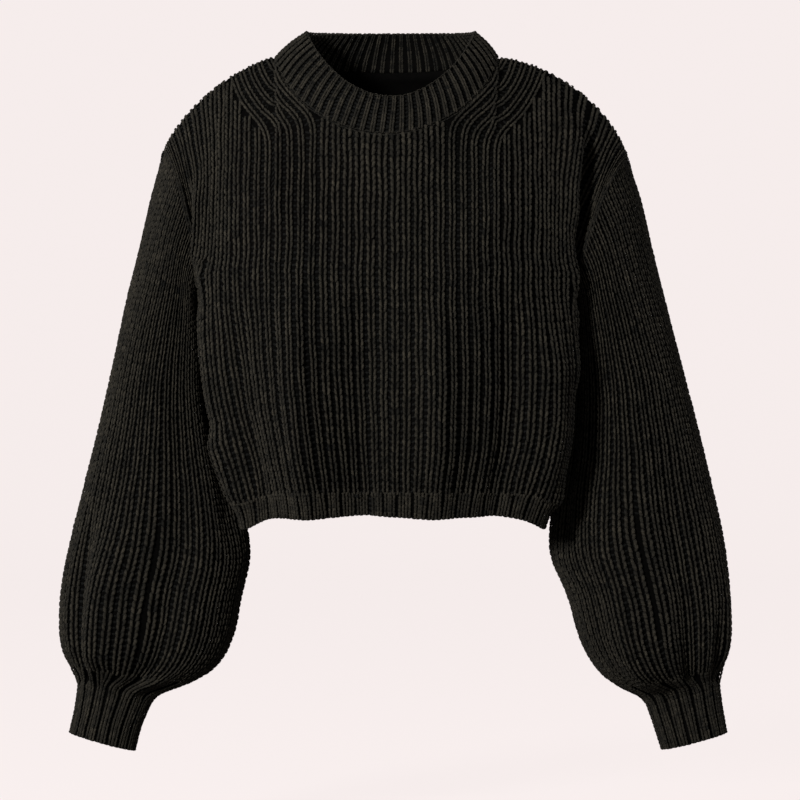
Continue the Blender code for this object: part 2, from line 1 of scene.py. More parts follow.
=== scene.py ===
"""Cropped crew-neck sweater in chunky half-cardigan rib: how it looks.

Each knitted piece is a thin ribbed wall with its stitches laid on it as half round
strands of yarn, two legs to a stitch, and low bars across the valleys between ribs.
The sizes are in millimetres. +X is the wearer's left and the front faces -Y.
"""
import math
from collections import namedtuple

import bpy
import numpy as np
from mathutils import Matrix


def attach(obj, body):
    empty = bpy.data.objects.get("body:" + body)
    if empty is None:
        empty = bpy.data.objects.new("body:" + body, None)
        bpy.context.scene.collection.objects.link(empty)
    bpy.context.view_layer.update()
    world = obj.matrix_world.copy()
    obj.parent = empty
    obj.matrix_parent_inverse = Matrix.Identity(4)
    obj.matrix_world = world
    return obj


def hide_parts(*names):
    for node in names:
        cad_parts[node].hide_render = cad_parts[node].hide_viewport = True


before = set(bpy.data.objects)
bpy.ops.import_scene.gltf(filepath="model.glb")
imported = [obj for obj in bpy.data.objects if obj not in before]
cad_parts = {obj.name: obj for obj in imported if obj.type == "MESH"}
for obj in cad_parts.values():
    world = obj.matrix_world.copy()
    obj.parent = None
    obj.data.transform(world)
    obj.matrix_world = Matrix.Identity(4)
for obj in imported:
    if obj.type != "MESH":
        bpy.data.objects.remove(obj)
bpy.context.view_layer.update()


# ------------------------------
# Front and back of the body: two panels of half-cardigan rib, knitted to shape, with
# dropped shoulders. Five ribs on each side turn outwards and follow the neckline up to
# the shoulder, and the ribs beside them end against these.
# ------------------------------
METRES = 0.001
WALL = 3.8
BODY_RIBS = 48
RIB_PITCH = 9.5


def table_of(kind, *rows):
    """A table of named rows."""
    return tuple(kind(*row) for row in rows)


BodySection = namedtuple("BodySection", "height right_side left_side right_reach left_reach front back")
BODY_SECTIONS = table_of(
    BodySection,
    (-450, 125, 130, 156, 154, 101, 96),
    (-411, 133, 139, 162, 168, 110, 104),
    (-368, 144, 146, 176, 184, 117, 108),
    (-320, 157, 152, 190, 190, 121, 111),
    (-290, 166, 158, 195, 191, 122, 113),
    (-260, 177, 166, 199, 190, 122, 114),
    (-234, 188, 176, 202, 188, 121, 114),
    (-131, 196, 184, 205, 190, 112, 108),
    (10, 196, 184, 205, 190, 100, 96),
)
FRONT_SQUARENESS = 2.7
BACK_SQUARENESS = 2.3
PINCH_FROM = math.radians(60)
CHEST = -250
HEM_SEAM = -411
HEM_SEAM_DROOP = 11
HEM_BAND = 21
HEM_BAND_DROOP = 3
SHOULDER_CURVES = {"right": 1.4, "left": 1.6}
SHOULDER_ROLL = 150
TIP_ROLL_CURVE = 1.75
FRONT_NECK_ROLL_CURVE = 1.3
BACK_NECK_ROLL_CURVE = 1.8
NECK_MIDDLE = -7
NECK_HALF_WIDTH = 107
NECK_HEIGHT = 5
NECK_FRONT_DEPTH = 84
NECK_BACK_DEPTH = 66
NECK_FRONT_DROP = 78
NECK_BACK_DROP = 10
NECK_CURVE = 1.35
TOP_SPREAD = 2.6
TOP_MEAN = -30
NECK_AT = 14 / BODY_RIBS
UNDERARM_AT = 0.55
COLLAR_MIDDLE = -3
COLLAR_HALF_WIDTH = 80
COLLAR_HEIGHT = 30
COLLAR_FRONT_DEPTH = 68
COLLAR_BACK_DEPTH = 58
COLLAR_FRONT_DROP = 67
COLLAR_BACK_DROP = -3
COLLAR_CURVE = 1.6
COLLAR_BULGE = 2.0
COLLAR_BULGE_RISE = 0.3
ARMHOLE_NARROWING = 0.2       # how far the back is drawn in between its armholes
ARMHOLE_CLEARANCE = 5
CLEARED_OVER = 0.05           # share of the width over which the clearance grows
CLEARED_TO = 1.25             # how far past the armhole's ring the cloth is kept clear
CLEARED_BELOW = 0.1           # and how far below the underarm, in the height's shares
UNDERARM_BLEND = 60           # height below the underarm over which the side seam comes in to it
EDGE_FADE = 0.2               # share of a panel's width over which its side edge moves it
EDGE_FADE_ACROSS = 0.5        # the same, for the edge's move to the side
TIP_ROLL_FROM = 0.4           # where the shoulder's roll turns from the neck's to the tip's
TIP_ROLL_OVER = 0.45
TOP_PULL_FROM = 0.45          # share of the height from which the width follows the top edge
LEVEL_FOLDS = 0.1             # share of the height beside the hem where folds stay level
EDGE_FLAT = 0.06              # shares of the width and height that folds leave flat at the edges
TOP_FLAT = 0.08

# Armhole seams: the sleeves' first cross-sections.
SleeveSection = namedtuple(
    "SleeveSection", "outer_x outer_z inner_x inner_z bow back half_depth squareness")
ARMHOLES = {
    "right": SleeveSection(-218, -84, -188, -234, 12, 0, 57, 2.0),
    "left": SleeveSection(221, -92, 176, -238, 16, 0, 57, 2.0),
}
SIGNS = {"right": -1, "left": 1}

# A fold runs from a top point to a foot point of its panel, in shares of the panel's
# width and height, and grows from nothing to its full height in mm.
Fold = namedtuple("Fold", "top_across top_up foot_across foot_up width height")
FRONT_FOLDS = table_of(
    Fold,
    (0.34, 0.62, 0.32, 0.0, 0.045, 7.0), (0.58, 0.60, 0.59, 0.0, 0.05, 7.5),
    (0.84, 0.55, 0.86, 0.0, 0.04, 6.0), (0.24, 0.58, 0.21, 0.0, 0.045, -6.0),
    (0.45, 0.66, 0.44, 0.0, 0.04, -7.0), (0.72, 0.60, 0.73, 0.0, 0.045, -7.0),
    (0.87, 0.97, 0.93, 0.62, 0.045, -6.0),
)
BACK_FOLDS = table_of(
    Fold,
    (0.30, 0.55, 0.27, 0.0, 0.05, 6.5), (0.50, 0.68, 0.53, 0.0, 0.055, 7.5),
    (0.74, 0.56, 0.77, 0.0, 0.045, 6.0), (0.40, 0.62, 0.39, 0.0, 0.045, -7.0),
    (0.63, 0.60, 0.65, 0.0, 0.04, -6.0),
)

# Creases and rolls that are finer than the folds: each is full over its middle and fades
# at both ends. Where its foot lies below 0 it runs on into the hem band.
FRONT_CREASES = table_of(
    Fold,
    (0.845, 0.96, 0.89, 0.66, 0.03, 10.0), (0.884, 0.78, 0.882, 0.42, 0.032, 7.0),
    (0.88, 0.95, 0.957, 0.67, 0.024, -13.0), (0.945, 0.76, 0.95, 0.46, 0.026, -4.0),
    (0.095, 0.86, 0.09, 0.44, 0.036, 9.0), (0.05, 0.86, 0.05, 0.50, 0.025, -4.0),
    (0.115, 0.52, 0.115, -0.03, 0.05, 4.5), (0.11, 0.20, 0.105, -0.04, 0.05, 9.0),
    (0.88, 0.34, 0.88, -0.02, 0.05, -7.0), (0.89, 0.015, 0.89, -0.11, 0.05, -12.0),
    (0.225, 0.50, 0.195, -0.08, 0.03, -6.0), (0.335, 0.62, 0.315, -0.12, 0.03, 8.5),
    (0.41, 0.40, 0.40, -0.12, 0.026, -3.0), (0.465, 0.58, 0.45, -0.12, 0.034, -7.0),
    (0.58, 0.55, 0.59, -0.12, 0.03, 8.0), (0.66, 0.36, 0.65, -0.10, 0.024, -2.5),
    (0.715, 0.54, 0.715, -0.12, 0.032, -7.5), (0.80, 0.44, 0.815, -0.08, 0.028, 5.5),
)
BACK_CREASES = table_of(
    Fold,
    (0.12, 0.96, 0.10, 0.55, 0.03, 6.0), (0.075, 0.96, 0.06, 0.55, 0.028, -7.0),
    (0.885, 0.96, 0.90, 0.55, 0.03, 5.0), (0.93, 0.96, 0.94, 0.55, 0.028, -6.0),
    (0.13, 0.45, 0.14, -0.05, 0.045, -5.0), (0.87, 0.40, 0.865, -0.05, 0.045, -6.0),
    (0.27, 0.56, 0.25, -0.12, 0.03, 4.5), (0.40, 0.60, 0.395, -0.12, 0.032, -4.0),
    (0.52, 0.48, 0.53, -0.12, 0.03, 4.0), (0.62, 0.62, 0.64, -0.12, 0.03, -4.5),
    (0.74, 0.46, 0.76, -0.12, 0.028, 4.0),
)
HEM_SHARE = 0.055             # height of the hem band as a share of the panel's
HEM_LIFT = 2.5                # how far the cloth's own spring draws the hem up
HEM_LIFT_FADE = 0.3
CORNER_LIFT = 15.0            # the hem is drawn up further at the side seams,
CORNER_SAG = 9.0              # sags in front beside them,
CORNER_TUCK = 9.0             # and is drawn up at the back, behind that sag
CORNER_SAG_AT = 0.14
CORNER_SAG_WIDTH = 0.05
CORNER_FADE = 0.12


def smooth_values(places, values, at):
    """A row of values read between their places on a curve with no kink."""
    slopes = np.gradient(values, places)
    at = np.clip(at, places[0], places[-1])
    index = np.clip(np.searchsorted(places, at) - 1, 0, len(places) - 2)
    step = places[index + 1] - places[index]
    t = (at - places[index]) / step
    start = (2 * t**3 - 3 * t**2 + 1) * values[index] + (t**3 - 2 * t**2 + t) * step * slopes[index]
    end = (3 * t**2 - 2 * t**3) * values[index + 1] + (t**3 - t**2) * step * slopes[index + 1]
    return start + end


def body_size(name, height):
    """One of the body's sizes at a height, read from its sections."""
    heights, sizes = (np.array([getattr(row, key) for row in BODY_SECTIONS], float)
                      for key in ("height", name))
    return smooth_values(heights, sizes, height)


def ease(t):
    t = np.clip(t, 0.0, 1.0)
    return t * t * (3 - 2 * t)


def unit(vectors):
    return vectors / np.maximum(np.linalg.norm(vectors, axis=-1, keepdims=True), 1e-9)


def stack(x, y, z):
    return np.stack(np.broadcast_arrays(x, y, z), axis=-1)


def body_section(facing, height, turn):
    """A panel's cross-section: turn 0 is its middle and a quarter turn a side seam."""
    side, reach = (np.where(turn < 0, body_size("right_" + edge, height),
                            body_size("left_" + edge, height)) for edge in ("side", "reach"))
    squareness, depth = FRONT_SQUARENESS, body_size("front", height)
    if facing > 0:
        squareness, depth, reach = BACK_SQUARENESS, body_size("back", height), side
    across = np.abs(np.sin(turn)) ** (2 / squareness)
    deep = np.abs(np.cos(turn)) ** (2 / squareness)
    pinch = 1 - ease((np.abs(turn) - PINCH_FROM) / (math.pi / 2 - PINCH_FROM))
    x = np.sign(turn) * across * (side + (reach - side) * pinch)
    return x, facing * depth * deep


def even_turns(facing):
    """Turns that part the chest's section into equal widths of knitting."""
    turns = np.linspace(-math.pi / 2, math.pi / 2, 721)
    x, y = body_section(facing, np.full(turns.shape, CHEST, float), turns)
    width = np.concatenate([[0.0], np.cumsum(np.hypot(np.diff(x), np.diff(y)))])
    return width / width[-1], turns


def neck_seam(facing, turn):
    drop = NECK_FRONT_DROP if facing < 0 else NECK_BACK_DROP
    depth = NECK_FRONT_DEPTH if facing < 0 else NECK_BACK_DEPTH
    cosine = np.maximum(np.cos(turn), 0.0)
    return stack(NECK_MIDDLE + NECK_HALF_WIDTH * np.sin(turn), facing * depth * cosine,
                 NECK_HEIGHT - drop * cosine ** NECK_CURVE)


def neck_turn(across):
    place = np.clip((across - 0.5) / (0.5 - NECK_AT), -1.0, 1.0)
    return np.arcsin(np.clip(0.5 * place + 0.5 * np.sin(place * math.pi / 2), -1.0, 1.0))


def top_edge(facing, across):
    """A panel's upper edge: shoulder, neckline and shoulder."""
    edge = neck_seam(facing, neck_turn(across))
    for name, sign in SIGNS.items():
        tip_x, tip_z = ARMHOLES[name][:2]
        neck_x = NECK_MIDDLE + sign * NECK_HALF_WIDTH
        from_tip = across if sign < 0 else 1 - across
        turn = np.clip(1 - from_tip / NECK_AT, 0.0, 1.0) * math.pi / 2
        x = neck_x + (tip_x - neck_x) * np.sin(turn) ** (2 / SHOULDER_CURVES[name])
        z = tip_z + (NECK_HEIGHT - tip_z) * np.cos(turn) ** (2 / SHOULDER_CURVES[name])
        edge = np.where((from_tip < NECK_AT)[..., None], stack(x, 0.0, z), edge)
    return edge


def collar_surface(turn, up):
    """Collar from the neck seam to its upper edge; turn runs once round from the back."""
    front = np.cos(turn) > 0
    facing = np.where(front, -1.0, 1.0)
    cosine = np.abs(np.cos(turn))
    from_middle = np.arcsin(np.clip(np.sin(turn), -1.0, 1.0))
    seam = np.where(front[..., None], neck_seam(-1, from_middle), neck_seam(1, from_middle))
    edge_depth = np.where(front, COLLAR_FRONT_DEPTH, COLLAR_BACK_DEPTH)
    edge_drop = np.where(front, COLLAR_FRONT_DROP, COLLAR_BACK_DROP)
    edge = stack(COLLAR_MIDDLE + COLLAR_HALF_WIDTH * np.sin(turn), facing * edge_depth * cosine,
                 COLLAR_HEIGHT - edge_drop * cosine ** COLLAR_CURVE)
    bulge = COLLAR_BULGE * np.sin(math.pi * up)
    outward = stack(np.sin(turn), -np.cos(turn), COLLAR_BULGE_RISE)
    return seam + (edge - seam) * up[..., None] + outward * bulge[..., None]


def ring_spokes(name, section):
    """A plane seam ring: its middle, its outer and front spokes, and the way down the sleeve."""
    half = np.array([section.outer_x - section.inner_x, 0.0, section.outer_z - section.inner_z]) / 2
    middle = np.array([section.outer_x + section.inner_x, 2.0 * section.back,
                       section.outer_z + section.inner_z]) / 2
    front = np.array([-SIGNS[name] * section.bow, -section.half_depth, 0.0])
    axis = unit(np.cross(half, front))
    axis = axis if axis[0] * SIGNS[name] > 0 or axis[2] < -0.9 else -axis
    return middle, half, front, axis


def hem_seam_height(across):
    return HEM_SEAM - HEM_SEAM_DROOP * np.abs(2 * across - 1) ** 3


def hem_lift(up):
    return HEM_LIFT * (1 - ease(up / HEM_LIFT_FADE))


def panel_height(facing, across, up):
    top = top_edge(facing, across)[..., 2]
    low = hem_seam_height(across)
    band = HEM_BAND + HEM_BAND_DROOP * np.abs(2 * across - 1) ** 3
    above = low + (TOP_MEAN - low) * up + (top - TOP_MEAN) * np.maximum(up, 0.0) ** TOP_SPREAD
    return np.where(up >= 0, above, low + band * up) + hem_lift(up)


def panel_base(facing, across, up):
    top = top_edge(facing, across)
    height = panel_height(facing, across, up)
    share = np.clip((up - UNDERARM_AT) / (1 - UNDERARM_AT), 0.0, 1.0)
    narrowing = 1 - (ARMHOLE_NARROWING if facing > 0 else 0.0) * np.sin(math.pi * share) ** 0.8
    shares, turns = even_turns(facing)
    turn = np.interp(across, shares, turns) * narrowing
    x, y = body_section(facing, height, turn)
    neck_curve = FRONT_NECK_ROLL_CURVE if facing < 0 else BACK_NECK_ROLL_CURVE
    to_tip = ease((np.abs(2 * across - 1) - TIP_ROLL_FROM) / TIP_ROLL_OVER)
    curve = neck_curve + (TIP_ROLL_CURVE - neck_curve) * to_tip
    roll = 1 - np.clip((top[..., 2] - height) / SHOULDER_ROLL, 0.0, 1.0)
    roll = (1 - roll ** curve) ** (1 / curve)
    x = x + (top[..., 0] - x) * ease((up - TOP_PULL_FROM) / (1 - TOP_PULL_FROM))
    y = top[..., 1] + (y - top[..., 1]) * roll
    return stack(x, y, height)


def panel_side(facing, name, up):
    """A panel's side edge: side seam up to the underarm, then half the armhole."""
    across = np.zeros_like(up) if name == "right" else np.ones_like(up)
    low = hem_seam_height(across)
    under_x, under_z = ARMHOLES[name][2:4]
    seam_z = np.where(up >= 0, low + (under_z - low) * up / UNDERARM_AT + hem_lift(up),
                      panel_height(facing, across, up))
    side = body_size(f"{name}_side", seam_z)
    at_top = body_size(f"{name}_side", float(under_z))
    side = side + (abs(under_x) - at_top) * ease(1 - (under_z - seam_z) / UNDERARM_BLEND)
    seam = stack(SIGNS[name] * side, 0.0, seam_z + CORNER_LIFT * (1 - ease(up / CORNER_FADE)))
    middle, half, front, _ = ring_spokes(name, ARMHOLES[name])
    share = np.clip((up - UNDERARM_AT) / (1 - UNDERARM_AT), 0.0, 1.0)
    turn = (-facing * math.pi * (1 - share))[..., None]
    armhole = middle + half * np.cos(turn) + front * np.sin(turn)
    return np.where((up > UNDERARM_AT)[..., None], armhole, seam)


def fold_height(folds, across, up, grows=1.0, ends=1.5, fades=0.4):
    """Height of folds: each grows over the first share of its length, and fades before it ends."""
    height = np.zeros(np.broadcast(across, up).shape)
    for fold in folds:
        t = (up - fold.top_up) / (fold.foot_up - fold.top_up)
        middle = fold.top_across + (fold.foot_across - fold.top_across) * t
        full = ease(t / grows) * ease((ends - t) / fades)
        height = height + fold.height * full * np.exp(-((across - middle) / fold.width) ** 2)
    return height


def behind_armhole(name, points, from_edge, up):
    """Keeps the knitting beside an armhole on the body's side of the seam's plane."""
    middle, half, front, axis = ring_spokes(name, ARMHOLES[name])
    spokes = np.linalg.inv(np.stack([half, front, axis], axis=1))
    place = (points - (middle - half)) @ spokes.T
    reach = np.hypot(place[..., 0], place[..., 1])
    clear = ARMHOLE_CLEARANCE * ease(from_edge / CLEARED_OVER)
    past = np.maximum(place[..., 2] + clear, 0.0) * ease((CLEARED_TO - reach) / 0.2)
    past = past * ease((up - UNDERARM_AT + CLEARED_BELOW) / CLEARED_BELOW)
    return points - axis * (past * (from_edge > 1e-9))[..., None]


def panel_plain(facing, across, up):
    points = panel_base(facing, across, up)
    for name, from_edge in (("right", across), ("left", 1 - across)):
        at_edge = np.zeros_like(up) if name == "right" else np.ones_like(up)
        move = panel_side(facing, name, up) - panel_base(facing, at_edge, up)
        fade = np.clip(1 - from_edge / EDGE_FADE, 0.0, 1.0) ** 2
        fade_across = np.clip(1 - from_edge / EDGE_FADE_ACROSS, 0.0, 1.0) ** 1.3
        points = points + move * stack(fade_across, fade, fade)
    for name, from_edge in (("right", across), ("left", 1 - across)):
        points = behind_armhole(name, points, from_edge, up)
    return points


def grid_normals(points, closed, sign):
    """Unit normals of a grid of points, from its slopes; a closed grid repeats its first column."""
    if closed:
        wrapped = np.concatenate([points[:, -2:-1], points, points[:, 1:2]], axis=1)
        along = np.gradient(wrapped, axis=1)[:, 1:-1]
    else:
        along = np.gradient(points, axis=1)
    return unit(np.cross(along, np.gradient(points, axis=0))) * sign


def panel_surface(facing, across, up):
    """A panel's outer face, over the ribs, with its folds and creases."""
    folds, creases = (FRONT_FOLDS, FRONT_CREASES) if facing < 0 else (BACK_FOLDS, BACK_CREASES)
    below = np.where(up < 0, up * HEM_SHARE, up)
    inside = ease(across / EDGE_FLAT) * ease((1 - across) / EDGE_FLAT) * ease((1 - up) / TOP_FLAT)
    height = fold_height(folds, across, np.maximum(up, 0.0))
    height = height + fold_height(creases, across, below, 0.3, 1.0, 0.3)
    points = panel_plain(facing, across, up)
    from_edge = np.minimum(across, 1 - across)
    sag = np.exp(-((from_edge - CORNER_SAG_AT) / CORNER_SAG_WIDTH) ** 2) * (1 - ease(up / CORNER_FADE))
    points = points - stack(0.0, 0.0, (CORNER_SAG if facing < 0 else -CORNER_TUCK) * sag)
    outward = grid_normals(points, False, -facing)
    outward = unit(outward * stack(1.0, 1.0, ease(np.abs(up) / LEVEL_FOLDS)))
    return points + outward * (height * inside)[..., None]


def turned(normals, toward, share):
    """Normals turned some of the way towards others, so that pieces meet at a seam."""
    return unit(normals * (1 - share)[..., None] + toward * share[..., None])


def ring_outward(name, section, turn):
    """Outward normals of a seam ring, in its own plane."""
    _, half, front, axis = ring_spokes(name, section)
    cosine = np.cos(turn)[..., None]
    sine = np.sin(turn)[..., None]
    outward = np.cross(front * cosine - half * sine, axis)
    spokes = half * cosine + front * sine
    return unit(outward * np.sign(np.sum(outward * spokes, axis=-1, keepdims=True)))


def collar_normal(turn):
    """Outward normal of the collar where it meets the neck seam."""
    zero = np.zeros_like(turn)
    along = collar_surface(turn + 0.01, zero) - collar_surface(turn - 0.01, zero)
    return unit(np.cross(along, collar_surface(turn, zero + 0.05) - collar_surface(turn, zero)))


SEAM_TURN = 0.0625      # share of a panel's width over which it turns to its side seam
TOP_TURN = 0.03         # share of its height over which it turns to the shoulder and neck
HEM_TURN = 0.04
RIDGE_SHALLOW = 0.5     # share of the ribs' depth that is lost where they cross the shoulder
RIDGE_FROM = 0.955
RIDGE_OVER = 0.04


def panel_cloth(facing, low, high, rows, columns):
    """A panel or its hem band, with normals that agree with its neighbours' at the seams."""
    across, up = np.meshgrid(np.linspace(0.0, 1.0, columns), np.linspace(low, high, rows))
    points = panel_surface(facing, across, up)
    normals = grid_normals(points, False, -facing)
    flat = 1 - 0.999 * ease(1 - np.abs(up) / HEM_TURN)
    normals = unit(normals * stack(1.0, 1.0, flat))
    for column, name, from_edge in ((0, "right", across), (-1, "left", 1 - across)):
        slope = np.gradient(points[:, column], axis=0)
        seam = unit(stack(SIGNS[name] * slope[:, 2], 0.0, -SIGNS[name] * slope[:, 0]))
        share = np.clip((up[:, 0] - UNDERARM_AT) / (1 - UNDERARM_AT), 0.0, 1.0)
        armhole = ring_outward(name, ARMHOLES[name], -facing * math.pi * (1 - share))
        edge = np.where((up[:, 0] > UNDERARM_AT)[:, None], armhole, seam)
        normals = turned(normals, edge[:, None, :], ease(1 - from_edge / SEAM_TURN))
    if high == 1.0:
        shares = across[-1]
        turn = neck_turn(shares)
        neck = collar_normal(turn if facing < 0 else math.pi - turn)
        slope = np.gradient(points[-1], axis=0)
        shoulder = unit(stack(-slope[:, 2], 0.0, slope[:, 0]))
        on_neck = (np.abs(shares - 0.5) <= 0.5 - NECK_AT)[:, None]
        at_top = np.where(on_neck, neck, shoulder)[None]
        normals = turned(normals, at_top, ease((up - 1 + TOP_TURN) / TOP_TURN))
    on_shoulder = np.abs(across - 0.5) > 0.5 - NECK_AT
    depth = 1 - RIDGE_SHALLOW * ease((up - RIDGE_FROM) / RIDGE_OVER) * on_shoulder
    return Cloth(points, normals, False, low, high, depth)


class Cloth:
    """A piece's outer face, over the ribs, read at any share of its width and height."""

    def __init__(self, points, normals, closed, low=0.0, high=1.0, depth=None):
        self.points = points
        self.normals = normals
        self.depth = np.ones(points.shape[:2]) if depth is None else depth
        self.closed = closed
        self.low = low
        self.high = high

    def at(self, across, up):
        """Points, outward normals and depth of the ribs, 1 where it is full."""
        rows, columns = self.points.shape[:2]
        across = across % 1.0 if self.closed else np.clip(across, 0.0, 1.0)
        x = across * (columns - 1)
        y = np.clip((up - self.low) / (self.high - self.low), 0.0, 1.0) * (rows - 1)
        i = np.minimum(x.astype(int), columns - 2)
        j = np.minimum(y.astype(int), rows - 2)
        u = (x - i)[..., None]
        v = (y - j)[..., None]
        found = []
        for grid in (self.points, self.normals, self.depth[..., None]):
            low = grid[j, i] * (1 - u) + grid[j, i + 1] * u
            high = grid[j + 1, i] * (1 - u) + grid[j + 1, i + 1] * u
            found.append(low * (1 - v) + high * v)
        return found[0], unit(found[1]), found[2]


def scene_object(name, data):
    """Puts an object into the scene."""
    made = bpy.data.objects.new(name, data)
    bpy.context.scene.collection.objects.link(made)
    return made


def mesh_object(name, vertices, quads, quad_places, shades, strands, material):
    """A mesh from arrays of points in mm, with its own map, stitch shade and yarn direction."""
    mesh = bpy.data.meshes.new(name)
    mesh.vertices.add(len(vertices))
    mesh.vertices.foreach_set("co", (vertices * METRES).astype(np.float32).ravel())
    mesh.loops.add(quads.size)
    mesh.loops.foreach_set("vertex_index", quads.astype(np.int32).ravel())
    mesh.polygons.add(len(quads))
    mesh.polygons.foreach_set("loop_start", np.arange(0, quads.size, 4, dtype=np.int32))
    mesh.polygons.foreach_set("loop_total", np.full(len(quads), 4, np.int32))
    places = mesh.uv_layers.new(name="OFBake")
    places.data.foreach_set("uv", quad_places.astype(np.float32).ravel())
    shade = mesh.attributes.new("stitch_shade", "FLOAT", "POINT")
    shade.data.foreach_set("value", shades.astype(np.float32).ravel())
    strand = mesh.attributes.new("yarn_place", "FLOAT_VECTOR", "POINT")
    strand.data.foreach_set("vector", strands.astype(np.float32).ravel())
    mesh.validate()
    mesh.update()
    mesh.shade_smooth()
    mesh.materials.append(material)
    return scene_object(name, mesh)


# The wall: how far its faces lie under the ribs' tops, outside and inside, in ribs and valleys.
OUTSIDE_UNDER_RIB = 2.6
OUTSIDE_IN_VALLEY = 3.3
INSIDE_UNDER_RIB = WALL + 1.5
INSIDE_IN_VALLEY = WALL + 0.6
MAP_RIM = 0.02          # share of the wall's map that its edges take


def grid_faces(rows):
    """Quads of many small grids at once, from their corners' indices or places."""
    return np.stack([rows[:, :-1, :-1], rows[:, :-1, 1:], rows[:, 1:, 1:], rows[:, 1:, :-1]], axis=3)


def wall_grid(rows, columns, closed, first):
    """A grid's indices and its quads, for a grid that starts at index first."""
    index = first + np.arange(rows * columns).reshape(rows, columns)
    if closed:
        index = np.concatenate([index, index[:, :1]], axis=1)
    return index, grid_faces(index[None]).reshape(-1, 4)


def knitted_wall(name, cloth, ribs, row_count, material, high=1.0):
    """Closed thin wall under a piece's stitches, with its ribs on both faces."""
    columns = 2 * ribs if cloth.closed else 2 * ribs + 1
    across, up = np.meshgrid(np.arange(columns) / (2 * ribs), np.linspace(cloth.low, high, row_count))
    points, normals, depth = cloth.at(across, up)
    on_rib = (np.arange(columns) % 2)[None, :, None]
    outer = points - normals * depth * np.where(on_rib, OUTSIDE_UNDER_RIB, OUTSIDE_IN_VALLEY)
    inner = points - normals * np.where(on_rib, INSIDE_UNDER_RIB, INSIDE_IN_VALLEY)
    outer_index, outer_quads = wall_grid(row_count, columns, cloth.closed, 0)
    inner_index, inner_quads = wall_grid(row_count, columns, cloth.closed, outer[..., 0].size)
    across_map, up_map = np.meshgrid(np.linspace(0.0, 0.5, outer_index.shape[1]),
                                     np.linspace(MAP_RIM, 1.0, row_count))
    corners = grid_faces(np.stack([across_map, up_map], axis=-1)[None]).reshape(-1, 4, 2)
    quads = [outer_quads, inner_quads[:, ::-1]]
    places = [corners, corners[:, ::-1] + np.array([0.5, 0.0])]
    outlines = [(outer_index[0], inner_index[0], True), (outer_index[-1], inner_index[-1], False)]
    if not cloth.closed:
        outlines += [(outer_index[:, k], inner_index[:, k], k < 0) for k in (0, -1)]
    for number, (near, far, flipped) in enumerate(outlines):
        rim = np.stack([near[:-1], near[1:], far[1:], far[:-1]], axis=-1)
        steps = np.linspace(number / 4, (number + 1) / 4, len(near))
        low = np.stack([steps, np.zeros(len(steps))], axis=-1)
        high = low + np.array([0.0, MAP_RIM * 0.9])
        rim_places = np.stack([low[:-1], low[1:], high[1:], high[:-1]], axis=1)
        quads.append(rim[:, ::-1] if flipped else rim)
        places.append(rim_places[:, ::-1] if flipped else rim_places)
    vertices = np.concatenate([outer.reshape(-1, 3), inner.reshape(-1, 3)])
    faces = np.concatenate(quads)
    a, b, c = (vertices[faces[:, k]] for k in range(3))
    if np.sum(a * np.cross(b, c)) + np.sum(a * np.cross(c, vertices[faces[:, 3]])) < 0:
        faces = faces[:, ::-1]
        places = [p[:, ::-1] for p in places]
    strands = np.concatenate([points.reshape(-1, 3), points.reshape(-1, 3)])
    shades = np.full(len(vertices), 0.5)
    return mesh_object(name, vertices, faces, np.concatenate(places), shades, strands, material)


# A stitch in mm, from its foot to its head: how far along its course, how far from the
# rib's middle, how deep under the rib's top, and the strand's half width and half height.
StitchPoint = namedtuple("StitchPoint", "along beside under half_width half_height")
Knit = namedtuple("Knit", "pitch course stitch unevenness shade bar_beside bar_under bar_top",
                  defaults=(0.0, 0.0, 0.0))
HALF_CARDIGAN = Knit(
    pitch=RIB_PITCH, course=5.8,
    stitch=table_of(StitchPoint, (-0.10, 1.35, 1.9, 0.95, 0.8), (0.24, 1.90, 1.15, 1.20, 1.2),
                    (0.70, 2.20, 1.10, 1.25, 1.2), (1.12, 2.10, 1.95, 0.95, 0.8)),
    bar_beside=2.9, bar_under=3.6, bar_top=3.2, unevenness=1.0, shade=0.55)
STRAND_TURNS = np.radians([-98.0, -34.0, 34.0, 98.0])
BAR_TURNS = np.radians([-80.0, 0.0, 80.0])
BAR_HALF_WIDTH = 1.15
BAR_HALF_HEIGHT = 0.8
BAR_SPAN = (0.4, 1.5)   # shares of the ribs' pitch that a bar reaches over
# Painted shade: the bars across the valleys are painted nearly black, for the shade between the ribs.
BAR_PAINTED_SHADE = 0.02
DIVE_UNDER = 1.7        # depth past which a loop lies in the shade of the next
# Painted shade: where a loop dives under the next, its colour is painted this much darker.
DIVE_PAINTED_SHADE = 0.5
SHADE_SPREAD = 0.09     # how much a stitch's shade strays, a leg's own, and a rib's over its length
LEG_SHADE_SPREAD = 0.06
RIB_SHADE_WAVE = 0.05
START_SPREAD = 0.25     # how far a stitch's foot strays, as a share of its course
LEG_SPREADS = (0.08, 0.12, 0.12)    # how far a leg strays along, aside and in height
THICKNESS_SPREAD = 0.07


# A line that stitches are laid along: its points, outward normals, steps to its side as
# wide as the knitting is drawn in there, direction, and depth of the rib.
Line = namedtuple("Line", "length points normals side tangent depth")


def run_length(points):
    """Length along a row of points, from its first."""
    return np.concatenate([[0.0], np.cumsum(np.linalg.norm(np.diff(points, axis=0), axis=1))])


def line_along(points, normals, width, depth):
    tangent = unit(np.gradient(points, axis=0))
    side = unit(np.cross(tangent, normals)) * width
    return Line(run_length(points), points, normals, side, tangent, depth)


DRAWN_IN = (0.45, 1.7)  # the least and the most of its own width that a rib is drawn to


